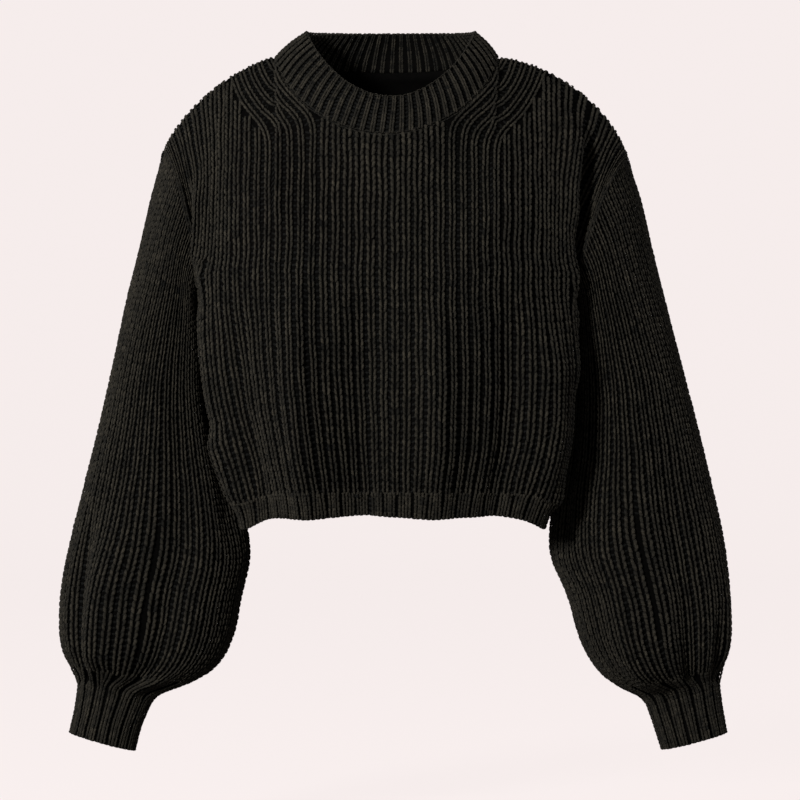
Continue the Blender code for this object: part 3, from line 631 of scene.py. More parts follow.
def rib_line(cloth, path, pitch, ribs, own_width):
    """A rib's line on its cloth; a rib with its own width isn't drawn in by its neighbours."""
    points, normals, depth = cloth.at(path[:, 0], path[:, 1])
    half = 0.5 / ribs
    beside = cloth.at(path[:, 0] + half, path[:, 1])[0] - cloth.at(path[:, 0] - half, path[:, 1])[0]
    side = unit(np.cross(np.gradient(points, axis=0), normals))
    width = np.clip(np.abs(np.sum(beside * side, axis=-1, keepdims=True)) / pitch, *DRAWN_IN)
    return line_along(points, normals, np.ones_like(width) if own_width else width, depth)


def read_line(line, at):
    columns = []
    for column in line[1:]:
        parts = [np.interp(at, line.length, column[:, k]) for k in range(column.shape[1])]
        columns.append(np.stack(parts, axis=-1))
    return columns


def strand_quads(first, strands):
    """Quads of a row of strands, whose points start at index first."""
    return grid_faces(first + np.arange(strands[..., 0].size).reshape(strands.shape[:3])).reshape(-1, 4)


def stitch_cells(column, width, count, turns, rings):
    """Map places of a column of stitches, a small cell for each."""
    u = (column + width * np.linspace(0, 1, turns))[None, None, :]
    v = (np.arange(count)[:, None] + 0.04 + 0.9 * np.linspace(0, 1, rings)[None, :])[:, :, None]
    return grid_faces(np.stack(np.broadcast_arrays(u, v), axis=-1)).reshape(-1, 4, 2)


DRIFT = 0.18            # how far in mm a rib strays from its line, over about DRIFT_LENGTH
DRIFT_LENGTH = 55.0


def stitch_leg(line, course, starts, leg, knit, drift, rng):
    """One leg of each stitch along a line, as rings of points round the strand."""
    count = len(starts)
    shape = np.array(knit.stitch)
    along, beside, under, half_width, half_height = (shape[None, :, k] for k in range(5))
    slip, wander, lift = (rng.normal(0.0, size * knit.unevenness, (count, 1)) for size in LEG_SPREADS)
    thick = 1 + rng.normal(0.0, THICKNESS_SPREAD * knit.unevenness, (count, len(knit.stitch)))
    at = starts[:, None] + (along + slip) * course
    points, normals, side, _, depth = read_line(line, at)
    way = at / DRIFT_LENGTH
    strayed = DRIFT * (np.sin(way * 2 * math.pi + drift[0]) + np.sin(way * 4.4 + drift[1]))
    middle = points + side * (leg * (beside + wander) + strayed)[..., None]
    middle = middle - normals * depth * (under + lift)[..., None]
    sideways = (half_width * thick)[..., None] * np.sin(STRAND_TURNS)
    upright = (half_height * thick)[..., None] * np.cos(STRAND_TURNS)
    strand = middle[:, :, None] + side[:, :, None] * sideways[..., None]
    return strand + normals[:, :, None] * upright[..., None], at


def valley_bars(low, high, knit):
    """The bars of yarn across the valley between two ribs' stitches."""
    a, a_normal, a_side, _, a_depth = low
    away = np.linalg.norm(a[:, None, :] - high[0][None, :, :], axis=-1)
    b, b_normal, b_side, tangent, b_depth = (column[np.argmin(away, axis=1)] for column in high)
    apart = np.linalg.norm(b - a, axis=-1)
    toward = np.sign(np.sum(a_side * (b - a), axis=-1, keepdims=True))
    start = a + a_side * toward * knit.bar_beside - a_normal * a_depth * knit.bar_under
    end = b - b_side * toward * knit.bar_beside - b_normal * b_depth * knit.bar_under
    keep = (apart > BAR_SPAN[0] * knit.pitch) & (apart < BAR_SPAN[1] * knit.pitch)
    keep &= np.sum((end - start) * (b - a), axis=-1) > 0
    normal = unit(a_normal + b_normal)
    middle = (start + end) / 2 + normal * (knit.bar_under - knit.bar_top)
    spine = np.stack([start, middle, end], axis=1)[keep]
    sideways, upright = BAR_HALF_WIDTH * np.sin(BAR_TURNS), BAR_HALF_HEIGHT * np.cos(BAR_TURNS)
    across = (-tangent * toward)[keep][:, None, None, :] * sideways[None, None, :, None]
    over = normal[keep][:, None, None, :] * upright[None, None, :, None]
    return spine[:, :, None, :] + across + over


def knit_stitches(name, lines, knit, material, seed, closed=False):
    """A piece's stitches as one mesh: two half round legs each, and bars between ribs."""
    rng = np.random.default_rng(seed)
    # Painted shade: the ends of each loop, where it dives under the next, are painted darker.
    dive = np.where(np.array(knit.stitch)[:, 2] > DIVE_UNDER, DIVE_PAINTED_SHADE, 1.0)
    vertices, quads, shades, strands, cells, middles = [], [], [], [], [], []
    total = 0
    for rib, line in enumerate(lines):
        count = max(int(round(line.length[-1] / knit.course)), 1)
        course = line.length[-1] / count
        starts = (np.arange(count) + rng.uniform(-START_SPREAD, START_SPREAD)) * course
        middles.append(read_line(line, starts + 0.5 * course))
        shade = rng.normal(knit.shade, SHADE_SPREAD, count)
        shade = shade + RIB_SHADE_WAVE * np.sin(starts / DRIFT_LENGTH * 3.1 + rng.uniform(0.0, 6.3))
        drift = rng.uniform(0.0, 2 * math.pi, 2)
        for leg in (-1, 1):
            strand, at = stitch_leg(line, course, starts, leg, knit, drift, rng)
            shape = strand.shape[:3]
            vertices.append(strand.reshape(-1, 3))
            quads.append(strand_quads(total, strand))
            total += strand[..., 0].size
            own = (shade + rng.normal(0.0, LEG_SHADE_SPREAD, count))[:, None] * dive[None, :]
            shades.append(np.repeat(own.ravel(), shape[2]))
            place = np.broadcast_arrays(STRAND_TURNS[None, None, :], at[..., None],
                                        7.0 * rib + 3.0 * leg + np.zeros(shape))
            strands.append(np.stack(place, axis=-1).reshape(-1, 3))
            cells.append(stitch_cells(rib + 0.02 + 0.46 * (leg > 0), 0.42, count, shape[2], shape[1]))
    pairs = list(zip(range(len(lines) - 1), range(1, len(lines)))) if knit.bar_top else []
    if closed and pairs:
        pairs.append((len(lines) - 1, 0))
    for low, high in pairs:
        bars = valley_bars(middles[low], middles[high], knit)
        if not len(bars):
            continue
        vertices.append(bars.reshape(-1, 3))
        quads.append(strand_quads(total, bars))
        total += bars[..., 0].size
        # The bars are painted nearly black: painted shade in the valleys.
        shades.append(np.full(bars[..., 0].size, BAR_PAINTED_SHADE))
        strands.append(np.full((bars[..., 0].size, 3), (1.0, 0.0, 0.0)))
        cells.append(stitch_cells(low + 0.91, 0.07, len(bars), bars.shape[2], bars.shape[1]))
    vertices, quads, cells, shades, strands = (
        np.concatenate(parts) for parts in (vertices, quads, cells, shades, strands))
    return mesh_object(name, vertices, quads, cells / cells.max(axis=(0, 1)), shades, strands, material)


def linear(hex_colour):
    """An sRGB hex colour as linear red, green, blue and alpha."""
    channels = [int(hex_colour[k:k + 2], 16) / 255 for k in (1, 3, 5)]
    return tuple(c / 12.92 if c <= 0.04045 else ((c + 0.055) / 1.055) ** 2.4 for c in channels) + (1.0,)


def set_node(node, settings):
    """Sets a node's own sockets, or its options where no socket has the name."""
    for key, value in settings.items():
        if isinstance(key, int) or key in node.inputs:
            node.inputs[key].default_value = value
        else:
            setattr(node, key, value)


def add_node(tree, kind, settings, links):
    """Adds one shader node, with its settings and what is linked into it."""
    node = tree.nodes.new(kind)
    set_node(node, settings)
    for key, source in links.items():
        tree.links.new(source, node.inputs[key])
    return node


def new_material(name):
    """A material with a plain Principled shader, its node tree and that shader."""
    material = bpy.data.materials.new(name)
    material.use_nodes = True
    return material, material.node_tree, material.node_tree.nodes["Principled BSDF"]


# Wool and acrylic blend, spun and plied: matt, with a soft bloom of fibres at its edges, and
# near-black with a warm, slightly olive cast. Its ply turns once in PLY_TURN mm, its fibres
# are 1/3 mm apart and its dye is mottled in patches about 4 mm wide. Between the ribs and
# inside, the same knitting lies in its own shade: darker still, with no bloom.
YARN_DARK = "#040403"
YARN_LIGHT = "#332F27"
PLY_TURN = 3.0
FIBRE_PER_MM = 3.0


def wool_yarn(name, dark, light, plied):
    material, tree, shader = new_material(name)
    shade = add_node(tree, "ShaderNodeAttribute", {"attribute_name": "stitch_shade"}, {})
    where = add_node(tree, "ShaderNodeTexCoord", {}, {})
    mottle = add_node(tree, "ShaderNodeTexNoise", {"Scale": 260.0, "Detail": 3.0, "Roughness": 0.6},
                      {"Vector": where.outputs["Object"]})
    mixed = add_node(tree, "ShaderNodeMath", {"operation": "MULTIPLY_ADD", 1: 0.8, 2: 0.1},
                     {0: mottle.outputs["Fac"]})
    both = add_node(tree, "ShaderNodeMath", {"operation": "MULTIPLY"},
                    {0: mixed.outputs[0], 1: shade.outputs["Fac"]})
    # Painted shade: each strand is painted darker towards both its sides than on its crest, as shade
    # where it turns away and meets its neighbours.
    if plied:
        strand = add_node(tree, "ShaderNodeAttribute", {"attribute_name": "yarn_place"}, {})
        parts = add_node(tree, "ShaderNodeSeparateXYZ", {}, {"Vector": strand.outputs["Vector"]})
        crest = add_node(tree, "ShaderNodeMath", {"operation": "COSINE"}, {0: parts.outputs["X"]})
        painted_side_shade = add_node(tree, "ShaderNodeMath",
                        {"operation": "MULTIPLY_ADD", 1: 0.6, 2: 0.4, "use_clamp": True},
                        {0: crest.outputs[0]})
        both = add_node(tree, "ShaderNodeMath", {"operation": "MULTIPLY"},
                        {0: both.outputs[0], 1: painted_side_shade.outputs[0]})
    ramp = add_node(tree, "ShaderNodeValToRGB", {}, {"Fac": both.outputs[0]})
    ramp.color_ramp.elements[0].position = 0.05
    ramp.color_ramp.elements[0].color = linear(dark)
    ramp.color_ramp.elements[1].position = 0.5
    ramp.color_ramp.elements[1].color = linear(light)
    tree.links.new(ramp.outputs["Color"], shader.inputs["Base Color"])
    set_node(shader, {
        "Roughness": 0.82, "IOR": 1.5, "Specular IOR Level": 0.12 if plied else 0.02,
        "Sheen Weight": 0.06 if plied else 0.0, "Sheen Roughness": 0.4,
        "Sheen Tint": linear("#A79F90")})
    fuzz = add_node(tree, "ShaderNodeTexNoise", {"Scale": 1000.0 * FIBRE_PER_MM / 2, "Detail": 2.0},
                    {"Vector": where.outputs["Object"]})
    bump = add_node(tree, "ShaderNodeBump", {"Strength": 0.5, "Distance": 0.0004},
                    {"Height": fuzz.outputs["Fac"]})
    if plied:
        run = add_node(tree, "ShaderNodeMath", {"operation": "MULTIPLY_ADD", 1: 2 * math.pi / PLY_TURN},
                       {0: parts.outputs["Y"], 2: parts.outputs["X"]})
        wave = add_node(tree, "ShaderNodeMath", {"operation": "SINE"}, {0: run.outputs[0]})
        bump = add_node(tree, "ShaderNodeBump", {"Strength": 0.6, "Distance": 0.0003},
                        {"Height": wave.outputs[0], "Normal": bump.outputs["Normal"]})
    tree.links.new(bump.outputs["Normal"], shader.inputs["Normal"])
    return material


stitch_yarn = wool_yarn("plied_wool_yarn", YARN_DARK, YARN_LIGHT, True)
wall_yarn = wool_yarn("wool_knit_inside", "#020202", "#070605", False)


WALE_OFFSET = 0.21      # from a rib's middle to each of its two columns, as a share of the rib


def straight_lines(cloth, ribs, pitch, wales=1, steps=240, offset=WALE_OFFSET):
    """Ribs that run up a piece at even shares of its width, of one or two columns of stitches."""
    up = np.linspace(cloth.low, cloth.high, steps)
    offsets = (0.0,) if wales == 1 else (-offset, offset)
    shares = [(rib + 0.5 + beside) / ribs for rib in range(ribs) for beside in offsets]
    return [rib_line(cloth, np.stack([np.full(steps, share), up], axis=-1), pitch, wales * ribs, False)
            for share in shares]


# The ribs that follow the neckline, how far from the neck's middle they begin, and where
# the ribs between the armholes begin to run plumb, in shares of the height.
NECK_BAND_RIBS = 5
NECK_BAND_FROM = 58
PLUMB_FROM = 0.50
PLUMB_OVER = 0.15
PLUMB_WITHIN = (0.06, 0.94)
PLUMB_RIBS = 0.40       # how far from the middle a rib still runs plumb
PLUMB_RIBS_OVER = 0.12
PATH_STEP = 1.5         # in mm
ROUNDED_STEPS = 18      # how many steps to each side a neck rib's corner is rounded over


def neck_distances(facing, cloth):
    """How far each place in a panel's upper half lies from its neck seam."""
    seam = neck_seam(facing, np.linspace(-math.pi / 2, math.pi / 2, 400))
    distance = np.full(cloth.points.shape[:2], 999.0)
    for row in range(len(distance) // 2, len(distance)):
        distance[row] = np.linalg.norm(cloth.points[row][:, None] - seam, axis=-1).min(axis=1)
    return distance


def plumb_path(share, x, plain, shares, ups):
    """A rib's path up a panel: with the cloth, and at one x where it runs plumb."""
    kept = slice(*(int(edge * len(shares)) for edge in PLUMB_WITHIN))
    plumb = np.full(len(ups), share)
    for row in range(np.argmin(np.abs(ups - PLUMB_FROM)), len(ups)):
        plumb[row] = np.interp(x, np.maximum.accumulate(plain[row, kept]), shares[kept])
    blend = ease((PLUMB_RIBS - abs(share - 0.5)) / PLUMB_RIBS_OVER)
    blend = blend * ease((ups - PLUMB_FROM) / PLUMB_OVER)
    return np.stack([share + (plumb - share) * blend, ups], axis=-1)


def clear_of_neck(path, distance, near):
    """The part of a path below where it first comes as near to the neck seam as this."""
    rows, columns = distance.shape
    x = path[:, 0] * (columns - 1)
    i = np.minimum(x.astype(int), columns - 2)
    row = np.arange(rows)
    along = distance[row, i] + (distance[row, i + 1] - distance[row, i]) * (x - i)
    return path[:np.append(np.nonzero(along < near)[0], rows)[0]]


def round_neck(path, distance, near, sign, shares, ups):
    """A neck rib's path, carried on at one distance from the neck seam to the shoulder."""
    column = int(round(path[-1, 0] * (len(shares) - 1)))
    turned_part = []
    while 0 < column < len(shares) - 1 and distance[-1, column] < near:
        high = np.nonzero(distance[:, column] >= near)[0][-1]
        if high < len(ups) - 1:
            below, above = distance[high:high + 2, column]
            past = (below - near) / max(below - above, 1e-6)
            turned_part.append((shares[column], ups[high] + past * (ups[1] - ups[0])))
        column += sign
    return np.concatenate([path, turned_part + [(shares[column], 1.0)]])


def rounded(cloth, path):
    """A path in even steps, with its corner rounded."""
    length = run_length(cloth.at(path[:, 0], path[:, 1])[0])
    even = np.arange(0.0, length[-1], PATH_STEP)
    path = np.stack([np.interp(even, length, path[:, k]) for k in range(2)], axis=-1)
    reach = ROUNDED_STEPS
    weights = np.exp(-(np.arange(-reach, reach + 1) / 12.0) ** 2)
    before, after = 2 * path[:1] - path[reach:0:-1], 2 * path[-1:] - path[-2:-reach - 2:-1]
    padded = np.concatenate([before, path, after])
    weights = weights / weights.sum()
    return np.stack([np.convolve(padded[:, k], weights, "valid") for k in range(2)], axis=-1)


def body_lines(facing, cloth):
    """Each rib's line up a panel: straight, ended at the neck's ribs, or turned along the neck."""
    ups, shares = (np.linspace(0.0, 1.0, size) for size in cloth.points.shape[:2])
    distance = neck_distances(facing, cloth)
    plain = panel_plain(facing, *np.meshgrid(shares, ups))[..., 0]
    middles = (np.arange(BODY_RIBS) + 0.5) / BODY_RIBS
    start_x = np.interp(middles, shares, plain[np.argmin(np.abs(ups - PLUMB_FROM))])
    paths = [plumb_path(share, x, plain, shares, ups) for share, x in zip(middles, start_x)]
    neck_ribs = set()
    for sign in (-1, 1):
        first_x = NECK_BAND_FROM + sign * NECK_MIDDLE
        beside = sorted((rib for rib in range(BODY_RIBS) if start_x[rib] * sign > first_x),
                        key=lambda rib: abs(start_x[rib]))
        for order, rib in enumerate(beside):
            in_band = order < NECK_BAND_RIBS
            near = (order + 0.5 if in_band else NECK_BAND_RIBS - 0.1) * RIB_PITCH
            path = clear_of_neck(paths[rib], distance, near)
            if in_band:
                neck_ribs.add(rib)
                if len(path) < len(ups):
                    path = round_neck(path, distance, near, sign, shares, ups)
                path = rounded(cloth, path)
            paths[rib] = path
    return [rib_line(cloth, path, RIB_PITCH, BODY_RIBS, rib in neck_ribs)
            for rib, path in enumerate(paths)]


def place_piece(wall, laid_on, node):
    """The piece's wall and what is laid on it stand for its solid, which is hidden."""
    for piece in [wall] + laid_on:
        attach(piece, "root")
        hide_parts(node)


for facing, word, seed in ((-1, "front", 11), (1, "back", 12)):
    body_cloth = panel_cloth(facing, 0.0, 1.0, 260, 385)
    wall = knitted_wall(f"{word}_body_wall", body_cloth, BODY_RIBS, 64, wall_yarn)
    stitches = knit_stitches(f"{word}_body_stitches", body_lines(facing, body_cloth), HALF_CARDIGAN,
                             stitch_yarn, seed)
    place_piece(wall, [stitches], f"{word}_body")


# ------------------------------
# Hem bands: a closer rib welt knitted on below each panel, its ribs smooth and full with
# thin dark lines between, drawn in slightly under the body.
# ------------------------------
HEM_RIBS = 33
HEM_OVERLAP = 0.006     # share of the panel's height that the hem's stitches run up over its foot
WELT = Knit(
    pitch=5.2, course=4.3,
    stitch=table_of(StitchPoint, (-0.12, 0.85, 1.6, 0.80, 0.8), (0.28, 1.15, 1.10, 0.95, 1.0),
                    (0.72, 1.30, 1.05, 0.95, 1.0), (1.15, 1.25, 1.6, 0.80, 0.8)),
    bar_beside=1.5, bar_under=3.5, bar_top=3.2, unevenness=0.6, shade=0.47)
# The edge's loops, cast on or cast off round the end of a rib.
EDGE_CHAIN = Knit(
    pitch=5.0, course=4.6,
    stitch=table_of(StitchPoint, (-0.15, 0.7, 1.3, 0.85, 0.8), (0.28, 1.35, 0.6, 1.05, 1.0),
                    (0.72, 1.35, 0.6, 1.05, 1.0), (1.12, 0.8, 1.2, 0.80, 0.8)),
    unevenness=0.8, shade=0.45)


EDGE_UNDER = WALL / 2 + 0.4


def end_line(cloth, up, inward, steps=600):
    """The line of loops round a piece's free end, in the middle of its thickness."""
    across = np.linspace(0.0, 1.0, steps)
    points, normals, depth = cloth.at(across, np.full(steps, up))
    beyond = unit(points - cloth.at(across, np.full(steps, up + inward))[0])
    return line_along(points - normals * EDGE_UNDER, beyond, np.ones((steps, 1)), depth)


for facing, word, seed in ((-1, "front", 21), (1, "back", 22)):
    hem_cloth = panel_cloth(facing, -1.0, HEM_OVERLAP, 40, 385)
    wall = knitted_wall(f"hem_{word}_wall", hem_cloth, HEM_RIBS, 10, wall_yarn, 0.0)
    lines = straight_lines(hem_cloth, HEM_RIBS, WELT.pitch, 2)
    stitches = knit_stitches(f"hem_{word}_stitches", lines, WELT, stitch_yarn, seed)
    lines = [end_line(hem_cloth, -1.0, 0.05)]
    edge = knit_stitches(f"hem_{word}_edge", lines, EDGE_CHAIN, stitch_yarn, seed + 2)
    place_piece(wall, [stitches, edge], f"hem_{word}")


# ------------------------------
# Neckband: a crew collar in fine rib, picked up round the neckline and standing up; its
# ribs fan out from the upper edge to the seam, and its inside shows at the back.
# ------------------------------
NECK_RIBS = 72
NECK_RIB = Knit(
    pitch=7.2, course=4.2,
    stitch=table_of(StitchPoint, (-0.12, 0.85, 1.5, 0.85, 0.9), (0.28, 0.95, 1.0, 0.95, 1.1),
                    (0.72, 1.05, 0.95, 0.95, 1.1), (1.15, 1.05, 1.5, 0.85, 0.9)),
    bar_beside=1.7, bar_under=3.3, bar_top=3.0, unevenness=0.6, shade=0.49)

INSIDE_RISE = 2.2       # how far the ribs stand out on the collar's inside
INSIDE_PAINTED_SHADE = 0.33     # their purl side is flatter, and they are painted darker: painted shade inside the collar
around, up = np.meshgrid(np.linspace(-math.pi, math.pi, 433), np.linspace(0.0, 1.0, 24))
collar_points = collar_surface(around, up)
collar_normals = grid_normals(collar_points, True, 1)
collar_normals = turned(collar_normals, collar_normal(around[:1]), ease(1 - up / 0.1))
collar_cloth = Cloth(collar_points, collar_normals, True)
inside_cloth = Cloth(collar_points - collar_normals * (WALL + INSIDE_RISE), -collar_normals, True)
wall = knitted_wall("neckband_wall", collar_cloth, NECK_RIBS, 10, wall_yarn)
lines = straight_lines(collar_cloth, NECK_RIBS, NECK_RIB.pitch)
outside = knit_stitches("neckband_stitches", lines, NECK_RIB, stitch_yarn, 31, True)
lines = straight_lines(inside_cloth, NECK_RIBS, NECK_RIB.pitch)
# Painted shade: the collar's inside ribs are painted darker than its outside ones.
inside_rib = NECK_RIB._replace(shade=INSIDE_PAINTED_SHADE)
inside = knit_stitches("neckband_inside_stitches", lines, inside_rib, stitch_yarn, 32, True)
lines = [end_line(collar_cloth, 1.0, -0.05, 900)]
edge = knit_stitches("neckband_edge", lines, EDGE_CHAIN, stitch_yarn, 33)
place_piece(wall, [outside, inside, edge], "neckband")


# ------------------------------
# Sleeves and cuffs: full balloon sleeves in the body's rib, sewn into the dropped armhole
# and gathered at the wrist into a narrow ribbed cuff.
# ------------------------------
SLEEVES = {
    "right": (ARMHOLES["right"],) + table_of(
        SleeveSection,
        (-231, -128, -187, -246, 9, 2, 58, 2.0),
        (-243, -177, -180, -264, 6, 7, 59, 2.0),
        (-256, -228, -173, -291, 3, 12, 60, 2.05),
        (-268, -284, -166, -330, 0, 15, 61, 2.1),
        (-281, -341, -156, -376, 0, 18, 62, 2.15),
        (-295, -397, -144, -423, 0, 20, 63, 2.2),
        (-308, -449, -137, -467, 0, 20, 64, 2.25),
        (-317, -492, -145, -509, 0, 20, 65, 2.3),
        (-320, -530, -153, -547, 0, 19, 64, 2.3),
        (-317, -558, -168, -574, 0, 17, 58, 2.3),
        (-308, -575, -192, -590, 0, 15, 46, 2.2),
        (-303, -585, -223, -602, 0, 14, 32, 2.0),
        (-302, -593, -231, -611, 0, 13, 27, 2.0),
    ),
    "left": (ARMHOLES["left"],) + table_of(
        SleeveSection,
        (235, -132, 175, -249, 12, 3, 58, 2.0),
        (247, -180, 171, -267, 8, 8, 59, 2.0),
        (260, -230, 168, -294, 4, 13, 60, 2.05),
        (274, -283, 163, -333, 0, 18, 61, 2.1),
        (289, -340, 158, -378, 0, 21, 62, 2.15),
        (303, -397, 150, -425, 0, 22, 63, 2.2),
        (315, -451, 149, -468, 0, 22, 64, 2.25),
        (321, -500, 165, -508, 0, 21, 65, 2.3),
        (322, -539, 178, -552, 0, 19, 63, 2.3),
        (318, -563, 195, -580, 0, 17, 56, 2.3),
        (313, -577, 215, -595, 0, 15, 44, 2.2),
        (311, -585, 234, -604, 0, 14, 32, 2.0),
        (311, -592, 240, -612, 0, 13, 27, 2.0),
    ),
}
CUFFS = {
    "right": (SLEEVES["right"][-1],) + table_of(
        SleeveSection,
        (-305, -614, -240, -632, 0, 12, 26, 2.0),
        (-310, -637, -246, -655, 0, 11, 25.5, 2.0),
    ),
    "left": (SLEEVES["left"][-1],) + table_of(
        SleeveSection,
        (314, -614, 247, -632, 0, 12, 26, 2.0),
        (318, -637, 254, -654, 0, 11, 25.5, 2.0),
    ),
}
SLEEVE_FOLDS = {
    "right": table_of(
        Fold,
        (0.18, 5.0, 0.17, 9.5, 0.035, 6.0), (0.29, 4.0, 0.28, 9.5, 0.035, -7.0),
        (0.11, 7.0, 0.11, 9.8, 0.025, -5.0), (0.70, 4.0, 0.72, 9.5, 0.04, 6.0),
        (0.82, 5.0, 0.80, 9.5, 0.035, -6.0),
    ),
    "left": table_of(
        Fold,
        (0.30, 4.0, 0.31, 9.5, 0.04, 6.0), (0.18, 5.0, 0.19, 9.8, 0.035, -7.0),
        (0.07, 6.0, 0.07, 9.5, 0.025, 4.0), (0.71, 4.0, 0.70, 9.5, 0.04, 6.0),
        (0.83, 5.0, 0.85, 9.5, 0.035, -6.0),
    ),
}
SLEEVE_CREASES = {
    "right": table_of(
        Fold,
        (0.285, 3.0, 0.275, 12.2, 0.045, -5.0), (0.11, 6.0, 0.12, 12.8, 0.02, -7.0),
        (0.18, 6.0, 0.17, 12.6, 0.03, 4.0), (0.42, 1.0, 0.40, 7.5, 0.04, -5.0),
        (0.64, 2.0, 0.66, 12.0, 0.03, -5.0), (0.88, 5.0, 0.87, 12.5, 0.022, -6.0),
    ),
    "left": table_of(
        Fold,
        (0.18, 4.0, 0.185, 12.6, 0.04, -5.0), (0.30, 5.0, 0.305, 12.4, 0.04, 5.0),
        (0.10, 8.0, 0.105, 12.8, 0.02, -5.0), (0.42, 1.0, 0.41, 7.5, 0.03, -4.0),
        (0.63, 2.0, 0.62, 12.0, 0.03, -5.0), (0.87, 5.0, 0.88, 12.5, 0.022, -6.0),
    ),
}
SLEEVE_RIBS = 48
CUFF_RIBS = 18
GATHERED_ROWS = 46      # of the sleeve's 300: the cuff's ribs are knitted up over its gathers
CUFF_WALE_OFFSET = 0.17
GATHERS = 10
GATHER_HEIGHT = 1.8
GATHER_SLIP = 0.6               # how unevenly the gathers are spread
GATHERS_ABOVE_CUFF = 1.3        # this and the next two in steps of the sleeve's sections
GATHERS_SPREAD = 1.1
FOLDS_END_ABOVE = 0.6
TURNED_OVER = 0.35
CUFF_RIB = Knit(
    pitch=4.75, course=4.2,
    stitch=table_of(StitchPoint, (-0.12, 0.85, 1.6, 0.78, 0.8), (0.28, 1.05, 1.10, 0.90, 1.0),
                    (0.72, 1.20, 1.05, 0.90, 1.0), (1.15, 1.20, 1.6, 0.78, 0.8)),
    bar_beside=1.4, bar_under=3.5, bar_top=3.2, unevenness=0.6, shade=0.45)


def tube_surface(name, table, folds, around, row):
    """Sleeve or cuff: around 0 is the outer point, a quarter the front, a half the inner."""
    places = np.arange(len(table), dtype=float)
    columns = [smooth_values(places, np.array(column, float), row) for column in zip(*table)]
    outer_x, outer_z, inner_x, inner_z, bow, back, half_depth, squareness = columns
    turn = around * 2 * math.pi
    cosine = np.sign(np.cos(turn)) * np.abs(np.cos(turn)) ** (2 / squareness)
    sine = np.sign(np.sin(turn)) * np.abs(np.sin(turn)) ** (2 / squareness)
    x = (outer_x + inner_x) / 2 + (outer_x - inner_x) / 2 * cosine - SIGNS[name] * bow * sine
    z = (outer_z + inner_z) / 2 + (outer_z - inner_z) / 2 * cosine
    y = back - half_depth * sine
    outward = unit(stack((outer_x - inner_x) * np.cos(turn), -2 * half_depth * np.sin(turn),
                         (outer_z - inner_z) * np.cos(turn)))
    height = fold_height(folds, around % 1.0, row)
    if folds:
        last = len(table) - 1.0
        waves = np.sin(GATHERS * turn + GATHER_SLIP * np.sin(3 * turn))
        gathered = np.exp(-((row - last + GATHERS_ABOVE_CUFF) / GATHERS_SPREAD) ** 2)
        height = height * ease((last - row) / 2) + GATHER_HEIGHT * waves * gathered
        height = height + fold_height(SLEEVE_CREASES[name], around % 1.0, row, 0.3, 1.0, 0.2)
        height = height * ease((last - row) / FOLDS_END_ABOVE)
    return stack(x, y, z) + outward * height[..., None]


def tube_cloth(name, table, folds, rows, columns):
    """A sleeve or cuff, with normals that lie in its seams' planes at both ends."""
    last = len(table) - 1.0
    around, row = np.meshgrid(np.linspace(0.0, 1.0, columns), np.linspace(last, 0.0, rows))
    points = tube_surface(name, table, folds, around, row)
    normals = grid_normals(points, True, -SIGNS[name])
    for section, from_end in ((table[0], row), (table[-1], last - row)):
        seam = ring_outward(name, section, around * 2 * math.pi)
        normals = turned(normals, seam, ease(1 - from_end / TURNED_OVER))
    return Cloth(points, normals, True)


for name, seed in (("right", 41), ("left", 42)):
    sleeve_cloth = tube_cloth(name, SLEEVES[name], SLEEVE_FOLDS[name], 300, 385)
    wall = knitted_wall(f"sleeve_{name}_wall", sleeve_cloth, SLEEVE_RIBS, 70, wall_yarn)
    above_gathers = Cloth(sleeve_cloth.points[GATHERED_ROWS:], sleeve_cloth.normals[GATHERED_ROWS:],
                          True)
    lines = straight_lines(above_gathers, SLEEVE_RIBS, RIB_PITCH, 1, 400)
    stitches = knit_stitches(f"sleeve_{name}_stitches", lines, HALF_CARDIGAN, stitch_yarn, seed, True)
    place_piece(wall, [stitches], f"sleeve_{name}")
    cuff_cloth = tube_cloth(name, CUFFS[name], (), 40, 289)
    wall = knitted_wall(f"cuff_{name}_wall", cuff_cloth, CUFF_RIBS, 16, wall_yarn)
    gathers = tube_cloth(name, SLEEVES[name], SLEEVE_FOLDS[name], 300, 289)
    points, normals = (np.concatenate([cuff[:-1], sleeve[:GATHERED_ROWS + 4]]) for cuff, sleeve in (
        (cuff_cloth.points, gathers.points), (cuff_cloth.normals, gathers.normals)))
    ribbed = Cloth(points, normals, True)
    lines = straight_lines(ribbed, CUFF_RIBS, CUFF_RIB.pitch, 2, 400, CUFF_WALE_OFFSET)
    stitches = knit_stitches(f"cuff_{name}_stitches", lines, CUFF_RIB, stitch_yarn, seed + 10, True)
    lines = [end_line(cuff_cloth, 0.0, 0.05, 300)]
    edge = knit_stitches(f"cuff_{name}_edge", lines, EDGE_CHAIN, stitch_yarn, seed + 20)
    place_piece(wall, [stitches, edge], f"cuff_{name}")


# ------------------------------
# Linked seams: a chain of the same yarn joins each edge to the next, loop to loop, round
# the neck and the armholes, over the shoulders and down the sides.
# ------------------------------
LINKING_CHAIN = Knit(
    pitch=5.0, course=5.0,
    stitch=table_of(StitchPoint, (-0.15, 0.6, 2.6, 0.75, 0.8), (0.28, 1.2, 1.9, 0.90, 1.0),
                    (0.72, 1.2, 1.9, 0.90, 1.0), (1.12, 0.7, 2.5, 0.75, 0.8)),
    unevenness=1.0, shade=0.45)


